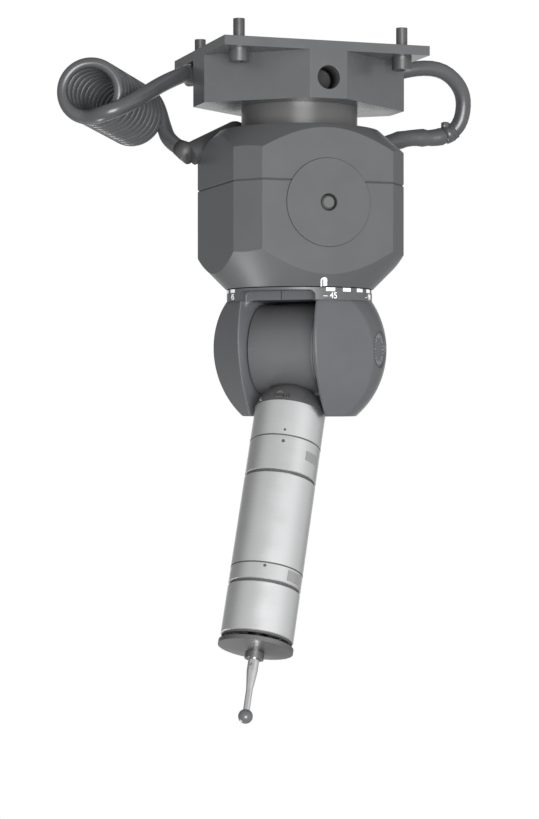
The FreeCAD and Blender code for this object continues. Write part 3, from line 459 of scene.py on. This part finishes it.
# The finish of every node that the CAD frame shows
NODE_FINISHES = {
    "block_anodised": ("adapter_block",),
    "black_oxide": ("plate_screws",),
    "shaded_hole_black": ("clamp_screw",),
    "neck_anodised": ("mounting_neck",),
    "housing_paint": ("upper_housing", "lower_housing", "cover_disc"),
    "lamp_lens": ("status_lamp",),
    "inner_steel": ("chassis_plate", "swivel_spindle", "tilt_shaft", "gimbal_ring"),
    "drive_case": ("swivel_drive",),
    "board_green": ("circuit_board",),
    "bearing_steel": (
        "swivel_bearing", "fixed_index_ring", "moving_index_plate", "left_tilt_bearing",
        "right_tilt_bearing", "guide_sleeve",
    ),
    "boot_rubber": ("left_boot", "right_boot"),
    "plug_black": ("left_plug", "right_plug"),
    "fork_paint": ("swivel_fork",),
    "cap_paint": ("left_side_cap", "right_side_cap"),
    "ring_paint": ("scale_ring",),
    "drum_paint": ("tilt_drum",),
    "collar_black": ("joint_collar", "lock_cam"),
    "barrel_metal": ("adapter_barrel", "probe_barrel", "module_shell"),
    "band_metal": ("upper_band", "lower_band"),
    "seal_black": ("upper_seal", "lower_seal", "foot_ring"),
    "contact_gold": ("contact_pins",),
    "holder_metal": ("stylus_holder",),
    "stem_metal": ("stylus_stem",),
    "tip_ball": ("stylus_ball",),
    "ruled_steel": ("drum_end_ring",),
}
READY = {}


def finish(name):
    """A finish by its name, made the first time that a piece asks for it."""
    if name not in READY:
        if name in PAINTS:
            colour, rough, more = PAINTS[name]
            READY[name] = paint(name, colour, rough, **more)
        elif name in TURNED:
            colour, rough, own_frame, more = TURNED[name]
            READY[name] = turned_metal(name, colour, rough, own_frame, **more)
        else:
            READY[name] = PANEL_FINISHES[name](name)
    return READY[name]


# Shapes


def new_piece(name, bm, finish_name, body, smooth=False):
    """A piece from a filled bmesh, riding on a body, its place in its mesh."""
    mesh = bpy.data.meshes.new(name)
    bm.to_mesh(mesh)
    bm.free()
    for face in mesh.polygons:
        face.use_smooth = smooth
    item = bpy.data.objects.new(name, mesh)
    bpy.context.collection.objects.link(item)
    mesh.materials.append(finish(finish_name))
    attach(item, body)
    return item


def plate(wide, tall, thick, place=UPRIGHT, bevel=0.0):
    """A small plate in X and Z, its outer face towards -Y, its edges broken by the bevel."""
    bm = bmesh.new()
    bmesh.ops.create_cube(bm, size=1.0)
    bmesh.ops.scale(bm, verts=bm.verts, vec=(wide, thick, tall))
    if bevel:
        bmesh.ops.bevel(
            bm, geom=bm.edges[:], offset=bevel, segments=2, profile=0.5, affect="EDGES",
            material=-1,
        )
    bmesh.ops.transform(bm, matrix=place, verts=bm.verts)
    return bm


def wrap(bm, radius):
    """Bend a flat mark in X and Z round a vertical cylinder."""
    for vert in bm.verts:
        angle = vert.co.x / radius
        out = radius - vert.co.y
        vert.co.x = out * math.sin(angle)
        vert.co.y = radius - out * math.cos(angle)


def bent_plate(wide, tall, thick, radius, cuts):
    """A small plate bent round a vertical cylinder."""
    bm = plate(wide, tall, thick)
    bmesh.ops.subdivide_edges(bm, edges=bm.edges, cuts=cuts, use_grid_fill=True)
    wrap(bm, radius)
    return bm


def grown_verts(grown):
    """The new vertices of an extrusion."""
    return [item for item in grown["geom"] if isinstance(item, bmesh.types.BMVert)]


def flat_ring(outer, inner, thick, place):
    """A flat ring in X and Y, centred on its own thickness."""
    bm = bmesh.new()
    bmesh.ops.create_circle(bm, segments=96, radius=outer)
    grown = bmesh.ops.extrude_edge_only(bm, edges=bm.edges[:])
    bmesh.ops.scale(bm, verts=grown_verts(grown), vec=(inner / outer, inner / outer, 1))
    bmesh.ops.translate(bm, verts=bm.verts, vec=(0, 0, -thick / 2))
    grown = bmesh.ops.extrude_face_region(bm, geom=bm.faces[:])
    bmesh.ops.translate(bm, verts=grown_verts(grown), vec=(0, 0, thick))
    bmesh.ops.recalc_face_normals(bm, faces=bm.faces)
    bmesh.ops.transform(bm, matrix=place, verts=bm.verts)
    return bm


def made_mesh(item):
    """The mesh that a curve or text object makes."""
    bpy.context.view_layer.update()
    graph = bpy.context.evaluated_depsgraph_get()
    return bpy.data.meshes.new_from_object(item.evaluated_get(graph))


def flat_text(text, tall):
    """Text as a mesh in X and Z, centred on its own middle, facing -Y."""
    curve = bpy.data.curves.new("figure", "FONT")
    curve.body = text
    curve.size = tall / FIGURE_SHARE
    curve.align_x = "CENTER"
    curve.align_y = "CENTER"
    curve.extrude = 0.04 * MM
    holder = bpy.data.objects.new("figure", curve)
    bpy.context.collection.objects.link(holder)
    mesh = made_mesh(holder)
    bpy.data.objects.remove(holder)
    bpy.data.curves.remove(curve)
    bm = bmesh.new()
    bm.from_mesh(mesh)
    bpy.data.meshes.remove(mesh)
    bmesh.ops.remove_doubles(bm, verts=bm.verts, dist=0.001 * MM)
    bmesh.ops.transform(bm, matrix=FACING_FRONT, verts=bm.verts)
    return bm


def around(own_frame, azimuth, radius, height):
    """The place on a round surface, at an azimuth from its frame's -Y towards +X."""
    turn = Matrix.Rotation(azimuth, 4, "Z")
    return own_frame @ turn @ Matrix.Translation((0, -radius, height))


def join_into(target, bm, place=UPRIGHT):
    """Add a small bmesh to a bigger one, moved to its place."""
    bmesh.ops.transform(bm, matrix=place, verts=bm.verts)
    mesh = bpy.data.meshes.new("part")
    bm.to_mesh(mesh)
    bm.free()
    target.from_mesh(mesh)
    bpy.data.meshes.remove(mesh)


# Stage


def lay_floor():
    bm = bmesh.new()
    bmesh.ops.create_circle(bm, cap_ends=True, segments=96, radius=FLOOR_RADIUS)
    bmesh.ops.translate(bm, verts=bm.verts, vec=(0, 0, FLOOR_LEVEL))
    mesh = bpy.data.meshes.new("floor")
    bm.to_mesh(mesh)
    bm.free()
    floor = bpy.data.objects.new("floor", mesh)
    bpy.context.collection.objects.link(floor)
    mesh.materials.append(finish("pale_floor"))


def sky_window(world, direction, heading, rise, outer, inner):
    """How far a direction lies inside a soft-edged round window of the sky, 0 to 1."""
    turn = math.radians(heading)
    lift = math.radians(rise)
    dot = world.node_tree.nodes.new("ShaderNodeVectorMath")
    dot.operation = "DOT_PRODUCT"
    dot.inputs[1].default_value = (
        math.sin(turn) * math.cos(lift), -math.cos(turn) * math.cos(lift), math.sin(lift)
    )
    edge = world.node_tree.nodes.new("ShaderNodeMapRange")
    edge.interpolation_type = "SMOOTHSTEP"
    edge.inputs["From Min"].default_value = math.cos(math.radians(outer))
    edge.inputs["From Max"].default_value = math.cos(math.radians(inner))
    world.node_tree.links.new(direction, dot.inputs[0])
    world.node_tree.links.new(dot.outputs["Value"], edge.inputs["Value"])
    return edge.outputs["Result"]


def hang_sky():
    """A sky that is brighter low down, with the soft windows and the white backdrop."""
    world = bpy.data.worlds.new("studio")
    bpy.context.scene.world = world
    world.use_nodes = True
    nodes = world.node_tree.nodes
    links = world.node_tree.links
    direction = nodes.new("ShaderNodeTexCoord").outputs["Generated"]
    split = nodes.new("ShaderNodeSeparateXYZ")
    links.new(direction, split.inputs["Vector"])
    height = nodes.new("ShaderNodeMapRange")
    for end, (level, strength) in (("Min", SKY_LOW), ("Max", SKY_HIGH)):
        height.inputs["From " + end].default_value = level
        height.inputs["To " + end].default_value = strength
    links.new(split.outputs["Z"], height.inputs["Value"])
    total = height.outputs["Result"]
    for *window, gain in SOFT_WINDOWS:
        add = nodes.new("ShaderNodeMath")
        add.operation = "MULTIPLY_ADD"
        add.inputs[1].default_value = gain
        links.new(sky_window(world, direction, *window), add.inputs[0])
        links.new(total, add.inputs[2])
        total = add.outputs["Value"]
    backdrop = nodes.new("ShaderNodeMix")
    backdrop.inputs["B"].default_value = 1.0
    links.new(sky_window(world, direction, *BACKDROP), backdrop.inputs["Factor"])
    links.new(total, backdrop.inputs["A"])
    links.new(backdrop.outputs["Result"], nodes["Background"].inputs["Strength"])
    nodes["Background"].inputs["Color"].default_value = (1, 1, 1, 1)


def set_lamps():
    """Soft boxes aimed at the head, unseen by the camera."""
    for name, spot, wide, tall, power in LAMPS:
        light = bpy.data.lights.new(name, "AREA")
        light.shape = "RECTANGLE"
        light.size = wide
        light.size_y = tall
        light.energy = power
        lamp = bpy.data.objects.new(name, light)
        bpy.context.collection.objects.link(lamp)
        lamp.location = spot
        lamp.visible_camera = False
        away = Vector(spot) - LAMP_AIM
        lamp.rotation_euler = away.to_track_quat("Z", "Y").to_euler()


def set_camera():
    """The camera as it stood for the photograph."""
    camera = bpy.data.cameras.new("photo_camera")
    camera.lens = CAMERA_LENS
    camera.sensor_width = CAMERA_FILM
    camera.clip_start = 0.01
    camera.clip_end = 50
    holder = bpy.data.objects.new("photo_camera", camera)
    bpy.context.collection.objects.link(holder)
    holder.location = CAMERA_PLACE
    holder.rotation_euler = CAMERA_LOOK.to_track_quat("-Z", "Y").to_euler()
    bpy.context.scene.camera = holder


class HEAD_OT_stage(bpy.types.Operator):
    """Pale floor, soft light and the camera"""

    bl_idname = "head.stage"
    bl_label = "Stage and camera"

    def execute(self, context):
        context.scene.view_settings.view_transform = "Standard"
        lay_floor()
        hang_sky()
        set_lamps()
        set_camera()
        return {"FINISHED"}


# Cords


def route_points(route, radius):
    """A route in millimetres as a cord's points in metres, all of one radius."""
    return [(Vector(point) * MM, radius) for point in route]


def coil_points(fat, thin, turns, turn_radius):
    """The coiled cord's turns, slightly uneven, its strand thinning as it enters them."""
    along = (COIL_REAR - COIL_FRONT) * MM
    side = COIL_FACING.cross(UP)
    count = turns * COIL_TURN_POINTS + COIL_TURN_POINTS * 3 // 4
    inset = along * (thin / along.length)
    points = []
    for step in range(count + 1):
        angle = -math.pi / 2 - step * math.tau / COIL_TURN_POINTS
        slack = 1 + 0.012 * math.sin(step * 0.9)
        out = side * math.cos(angle) + UP * math.sin(angle)
        middle = COIL_FRONT * MM + inset + (along - 2 * inset) * step / count
        strand = thin
        if step < COIL_THINNING:
            strand = fat - (fat - thin) * (step + 1) / (COIL_THINNING + 1)
        points.append((middle + out * turn_radius * COIL_OUTSIDE * slack, strand))
    return points


def cord_curve(name, points, body):
    """One smooth open spline through the route; each point is a place and a radius."""
    curve = bpy.data.curves.new(name, "CURVE")
    curve.dimensions = "3D"
    curve.bevel_depth = 1.0
    curve.bevel_resolution = 5
    curve.use_fill_caps = True
    curve.resolution_u = 6
    spline = curve.splines.new("NURBS")
    spline.points.add(len(points) - 1)
    for point, (place, radius) in zip(spline.points, points):
        point.co = (*place, 1)
        point.radius = radius
    spline.order_u = 3
    spline.use_endpoint_u = True
    curve.materials.append(finish("cord_skin"))
    item = bpy.data.objects.new(name, curve)
    bpy.context.collection.objects.link(item)
    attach(item, body)
    return item


def centre_line(item):
    """Points read from the cord's own spline."""
    depth = item.data.bevel_depth
    caps = item.data.use_fill_caps
    item.data.bevel_depth = 0
    item.data.use_fill_caps = False
    mesh = made_mesh(item)
    points = [vert.co.copy() for vert in mesh.vertices]
    bpy.data.meshes.remove(mesh)
    item.data.bevel_depth = depth
    item.data.use_fill_caps = caps
    return points


def sleeve_over(name, points, radii, finish_name, body):
    """A tube laid over a stretch of cord, its radius changing from point to point."""
    bm = bmesh.new()
    rings = []
    for index, (point, radius) in enumerate(zip(points, radii)):
        before = points[max(0, index - 1)]
        after = points[min(len(points) - 1, index + 1)]
        turn = (after - before).to_track_quat("Z", "Y").to_matrix().to_4x4()
        made = bmesh.ops.create_circle(
            bm, segments=28, radius=radius, matrix=Matrix.Translation(point) @ turn
        )
        rings.append(made["verts"])
    loops = [{edge for vert in ring for edge in vert.link_edges} for ring in rings]
    for first, second in zip(loops, loops[1:]):
        bmesh.ops.bridge_loops(bm, edges=list(first | second))
    for ring in (rings[0], rings[-1]):
        bmesh.ops.contextual_create(bm, geom=ring)
    bmesh.ops.recalc_face_normals(bm, faces=bm.faces)
    return new_piece(name, bm, finish_name, body, smooth=True)


class HEAD_OT_coiled_cord(bpy.types.Operator):
    """The coiled cord on the left and the cuff at its lower end"""

    bl_idname = "head.coiled_cord"
    bl_label = "Coiled cord"

    def execute(self, context):
        size = sizes()
        fat = size.cord / 2
        points = route_points(UPPER_ROUTE, fat)
        points += coil_points(fat, size.strand / 2, size.turns, size.turn_radius)
        points += route_points(LOWER_ROUTE, fat)
        left = cord_curve("left_cord", points, "housing")
        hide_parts("cord_upper_run", "cord_coil", "cord_lower_run")
        line = centre_line(left)
        flare = [fat * 1.06, fat * 1.24, fat * 1.4]
        cuff = sleeve_over("boot_cuff", line[-3:], flare, "boot_rubber", "housing")
        return {"FINISHED"}


class HEAD_OT_looped_cord(bpy.types.Operator):
    """The looped cord on the right, its wrinkled sleeve and its cable tie"""

    bl_idname = "head.looped_cord"
    bl_label = "Looped cord"

    def execute(self, context):
        size = sizes()
        fat = size.cord / 2
        right = cord_curve("looped_cord", route_points(RIGHT_ROUTE, fat), "housing")
        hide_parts("right_cord")
        line = centre_line(right)
        # The sleeve covers the last four ninths of the line, and the tie sits near its start
        stretch = line[len(line) * 5 // 9:]
        wrinkles = [
            fat * (1.1 + 0.06 * math.sin(index * 1.7) + 0.04 * math.sin(index * 3.1 + 1))
            for index in range(len(stretch))
        ]
        sleeve = sleeve_over("shrink_sleeve", stretch, wrinkles, "shrink_sleeve", "housing")
        tie_at = len(line) * 21 // 36
        tie_line = line[tie_at:tie_at + 3]
        tie = sleeve_over("cable_tie", tie_line, [fat * 1.2] * 3, "cord_skin", "housing")
        head_at = tie_line[1] + Vector((-0.45, -0.25, 0.85)) * fat * 1.3
        bm = plate(2.4 * MM, 2.2 * MM, 2.6 * MM, Matrix.Translation(head_at), 0.4 * MM)
        head = new_piece("cable_tie_head", bm, "cord_skin", "housing", smooth=True)
        return {"FINISHED"}


class HEAD_OT_finishes(bpy.types.Operator):
    """The finish of every node"""

    bl_idname = "head.finishes"
    bl_label = "Finishes"

    def execute(self, context):
        for name, nodes in NODE_FINISHES.items():
            for node in nodes:
                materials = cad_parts[node].data.materials
                materials.clear()
                materials.append(finish(name))
        return {"FINISHED"}


# Marks and lines


def bearing_of(azimuth):
    """An azimuth in degrees, from -180 to 180."""
    return (math.degrees(azimuth) + 180) % 360 - 180


def is_bare(azimuth):
    return BARE_ARC[0] < bearing_of(azimuth) < BARE_ARC[1]


def reading_at(azimuth):
    """The number that the scale bears at an azimuth."""
    reading = round(math.degrees(FIRST_DASH) - FIGURE_STEP - bearing_of(azimuth))
    if reading <= -180:
        reading += 360
    return str(reading).replace("-", MINUS)


class HEAD_OT_scale_marks(bpy.types.Operator):
    """White dashes and degree numbers on the turning ring"""

    bl_idname = "head.scale_marks"
    bl_label = "Scale marks"

    def execute(self, context):
        size = sizes()
        radius = size.ring / 2
        top = Matrix.Translation((0, 0, FORK.to_translation().z + RING_TOP))
        bm = bmesh.new()
        for number in range(round(math.tau / size.step)):
            azimuth = FIRST_DASH + number * size.step
            if is_bare(azimuth):
                continue
            dash = bent_plate(radius * size.dash, 1.2 * MM, 0.1 * MM, radius, 3)
            join_into(bm, dash, around(top, azimuth, radius, -0.68 * MM))
        for turn in range(0, 360, FIGURE_STEP):
            azimuth = FIRST_DASH + math.radians(turn)
            if is_bare(azimuth):
                continue
            figure = flat_text(reading_at(azimuth), size.figure)
            wrap(figure, radius)
            join_into(bm, figure, around(top, azimuth, radius + 0.03 * MM, -2.85 * MM))
        new_piece("scale_marks", bm, "mark_white", "fork")
        return {"FINISHED"}


class HEAD_OT_index_mark(bpy.types.Operator):
    """White arched mark on the lower cone, with the dark slit in it"""

    bl_idname = "head.index_mark"
    bl_label = "Index mark"

    def execute(self, context):
        bm = bmesh.new()
        # The upper half of a disc, its lower half drawn down to a straight foot
        bmesh.ops.create_circle(bm, cap_ends=True, segments=32, radius=1.15 * MM)
        for vert in bm.verts:
            vert.co.y = vert.co.y + 0.9 * MM if vert.co.y > -0.01 * MM else -2.05 * MM
        bmesh.ops.transform(bm, matrix=FACING_FRONT, verts=bm.verts)
        grown = bmesh.ops.extrude_face_region(bm, geom=bm.faces[:])
        bmesh.ops.translate(bm, verts=grown_verts(grown), vec=(0, -0.08 * MM, 0))
        bmesh.ops.recalc_face_normals(bm, faces=bm.faces)
        bmesh.ops.transform(bm, matrix=INDEX_PLACE, verts=bm.verts)
        new_piece("index_mark", bm, "mark_white", "housing")
        place = INDEX_PLACE @ Matrix.Translation((-0.38 * MM, -0.07 * MM, -0.4 * MM))
        bm = plate(0.4 * MM, 3.3 * MM, 0.1 * MM, place)
        new_piece("index_slit", bm, "dark_line_and_shade", "housing")
        return {"FINISHED"}


class HEAD_OT_lip_tick(bpy.types.Operator):
    """Dark tick on the fork's lip, over its slot"""

    bl_idname = "head.lip_tick"
    bl_label = "Lip tick"

    def execute(self, context):
        place = FORK @ Matrix.Translation((-0.5 * MM, -16.52 * MM, 18.8 * MM))
        bm = plate(0.3 * MM, 3.1 * MM, 0.1 * MM, place)
        new_piece("lip_tick", bm, "dark_line_and_shade", "fork")
        return {"FINISHED"}


class HEAD_OT_front_lines(bpy.types.Operator):
    """Dark lines round the cover disc and the lamp's lens, and painted shade lining the clamp
    screw's hole
    """

    bl_idname = "head.front_lines"
    bl_label = "Front lines"

    def execute(self, context):
        lines = (("disc_line", 30.32, 15.35, 15.08), ("lens_line", 30.68, 3.05, 2.84))
        for name, reach, outer, inner in lines:
            place = Matrix.Translation((0, -reach * MM, -55.5 * MM)) @ FACING_FRONT
            bm = flat_ring(outer * MM, inner * MM, 0.08 * MM, place)
            new_piece(name, bm, "dark_line_and_shade", "housing")
        # Painted shade: a thin dark sleeve inside the clamp screw's hole and a dark ring at its
        # foot
        hole = Matrix.Translation((0, -25.6 * MM, -12.6 * MM)) @ FACING_FRONT
        foot = Matrix.Translation((0, 4.1 * MM, 0)) @ hole
        bm = flat_ring(4.08 * MM, 3.98 * MM, 8.8 * MM, hole)
        join_into(bm, flat_ring(3.97 * MM, 3.35 * MM, 0.1 * MM, foot))
        new_piece("clamp_hole_shade", bm, "dark_line_and_shade", "housing", smooth=True)
        return {"FINISHED"}


class HEAD_OT_drum_rulings(bpy.types.Operator):
    """Fine raised rings on the drum's ruled end"""

    bl_idname = "head.drum_rulings"
    bl_label = "Drum rulings"

    def execute(self, context):
        bm = bmesh.new()
        lie = PROBE @ Matrix.Rotation(math.radians(90), 4, "Y")
        for along in RULINGS:
            ring = bmesh.new()
            bmesh.ops.create_circle(ring, segments=96, radius=RULED_RADIUS)
            grown = bmesh.ops.extrude_edge_only(ring, edges=ring.edges)
            bmesh.ops.translate(ring, verts=grown_verts(grown), vec=(0, 0, 0.18 * MM))
            bmesh.ops.solidify(ring, geom=ring.faces, thickness=0.04 * MM)
            join_into(bm, ring, lie @ Matrix.Translation((0, 0, along * MM)))
        bmesh.ops.recalc_face_normals(bm, faces=bm.faces)
        new_piece("drum_ruling", bm, "ruling_dark", "probe")
        return {"FINISHED"}


class HEAD_OT_cap_scale(bpy.types.Operator):
    """Short marks in a circle on the fork's side caps, every third one longer"""

    bl_idname = "head.cap_scale"
    bl_label = "Cap scale"

    def execute(self, context):
        bm = bmesh.new()
        for side in (-1, 1):
            for number in range(CAP_MARKS):
                tall, out = (1.6, 4.6) if number % 3 == 0 else (0.9, 4.95)
                place = Matrix.Translation((0, 0, out * MM))
                mark = plate(0.28 * MM, tall * MM, 0.12 * MM, place)
                spin = (
                    FORK
                    @ Matrix.Translation((side * CAP_FACE, 0, 0))
                    @ Matrix.Rotation(number * math.tau / CAP_MARKS, 4, "X")
                    @ Matrix.Rotation(math.radians(90) * side, 4, "Z")
                )
                join_into(bm, mark, spin)
        new_piece("cap_scale", bm, "cap_marks", "fork")
        return {"FINISHED"}


class HEAD_OT_alignment_dots(bpy.types.Operator):
    """Small dark dots that line up the barrel's sections"""

    bl_idname = "head.alignment_dots"
    bl_label = "Alignment dots"

    def execute(self, context):
        bm = bmesh.new()
        for down, wide in ((35.2, 0.45), (39.4, 0.6), (84.6, 0.55)):
            dot = bmesh.new()
            bmesh.ops.create_cone(
                dot, cap_ends=True, segments=20, radius1=wide * MM, radius2=wide * MM,
                depth=0.1 * MM, matrix=FACING_FRONT,
            )
            join_into(bm, dot, around(PROBE, DOTS_FACE, BARREL_RADIUS, -down * MM))
        new_piece("alignment_dots", bm, "dot_black", "probe")
        return {"FINISHED"}


class HEAD_OT_joint_lines(bpy.types.Operator):
    """Dark lines where the barrel's sections meet"""

    bl_idname = "head.joint_lines"
    bl_label = "Joint lines"

    def execute(self, context):
        bm = bmesh.new()
        for down in (37.2, 83.4):
            place = PROBE @ Matrix.Translation((0, 0, -down * MM))
            join_into(bm, flat_ring(12.55 * MM, 12.2 * MM, 0.3 * MM, place))
        new_piece("joint_lines", bm, "dot_black", "probe")
        return {"FINISHED"}


class HEAD_OT_bare_plates(bpy.types.Operator):
    """Two blank grey plates bent round the barrel"""

    bl_idname = "head.bare_plates"
    bl_label = "Bare plates"

    def execute(self, context):
        bm = bmesh.new()
        for down, tall, bearing in ((42.6, 3.3, 74), (86.2, 3.6, 72)):
            bent = bent_plate(6.2 * MM, tall * MM, 0.3 * MM, BARREL_RADIUS, 5)
            join_into(bm, bent, around(PROBE, math.radians(bearing), BARREL_RADIUS, -down * MM))
        new_piece("bare_plates", bm, "plate_grey", "probe")
        return {"FINISHED"}


class HEAD_OT_lock_parts(bpy.types.Operator):
    """Small steel parts of the locking joint, leaned with the collar"""

    bl_idname = "head.lock_parts"
    bl_label = "Lock parts"

    def execute(self, context):
        lean = Matrix.Rotation(math.radians(-18), 4, "X")
        bm = bmesh.new()
        for bearing, wide, tall in ((1, 3.0, 1.7), (15, 0.8, 1.7), (-38, 0.8, 1.5)):
            part = plate(wide * MM, tall * MM, 1.2 * MM, lean, 0.2 * MM)
            join_into(bm, part, around(PROBE, math.radians(bearing), 12.3 * MM, -22.9 * MM))
        new_piece("lock_parts", bm, "lock_steel", "probe")
        return {"FINISHED"}


class HEAD_PT_panel(bpy.types.Panel):
    """The steps that dress the head"""

    bl_idname = "HEAD_PT_panel"
    bl_label = "Probe head"
    bl_space_type = "VIEW_3D"
    bl_region_type = "UI"
    bl_category = "Probe head"

    def draw(self, context):
        for step in STEPS:
            self.layout.operator(step.bl_idname)
        for name in HEAD_PG_sizes.__annotations__:
            self.layout.prop(context.scene.head_sizes, name)
        for name in HEAD_PG_colours.__annotations__:
            self.layout.prop(context.scene.head_colours, name)


STEPS = (
    HEAD_OT_stage,
    HEAD_OT_coiled_cord,
    HEAD_OT_looped_cord,
    HEAD_OT_finishes,
    HEAD_OT_scale_marks,
    HEAD_OT_index_mark,
    HEAD_OT_lip_tick,
    HEAD_OT_front_lines,
    HEAD_OT_drum_rulings,
    HEAD_OT_cap_scale,
    HEAD_OT_alignment_dots,
    HEAD_OT_joint_lines,
    HEAD_OT_bare_plates,
    HEAD_OT_lock_parts,
)
CLASSES = (HEAD_PG_sizes, HEAD_PG_colours, *STEPS, HEAD_PT_panel)


def register():
    for item in CLASSES:
        bpy.utils.register_class(item)
    bpy.types.Scene.head_sizes = bpy.props.PointerProperty(type=HEAD_PG_sizes)
    bpy.types.Scene.head_colours = bpy.props.PointerProperty(type=HEAD_PG_colours)


def unregister():
    del bpy.types.Scene.head_colours
    del bpy.types.Scene.head_sizes
    for item in reversed(CLASSES):
        bpy.utils.unregister_class(item)


def main():
    register()
    bpy.ops.head.stage()
    bpy.ops.head.coiled_cord()
    bpy.ops.head.looped_cord()
    bpy.ops.head.finishes()
    bpy.ops.head.scale_marks()
    bpy.ops.head.index_mark()
    bpy.ops.head.lip_tick()
    bpy.ops.head.front_lines()
    bpy.ops.head.drum_rulings()
    bpy.ops.head.cap_scale()
    bpy.ops.head.alignment_dots()
    bpy.ops.head.joint_lines()
    bpy.ops.head.bare_plates()
    bpy.ops.head.lock_parts()


if __name__ == "__main__":
    main()
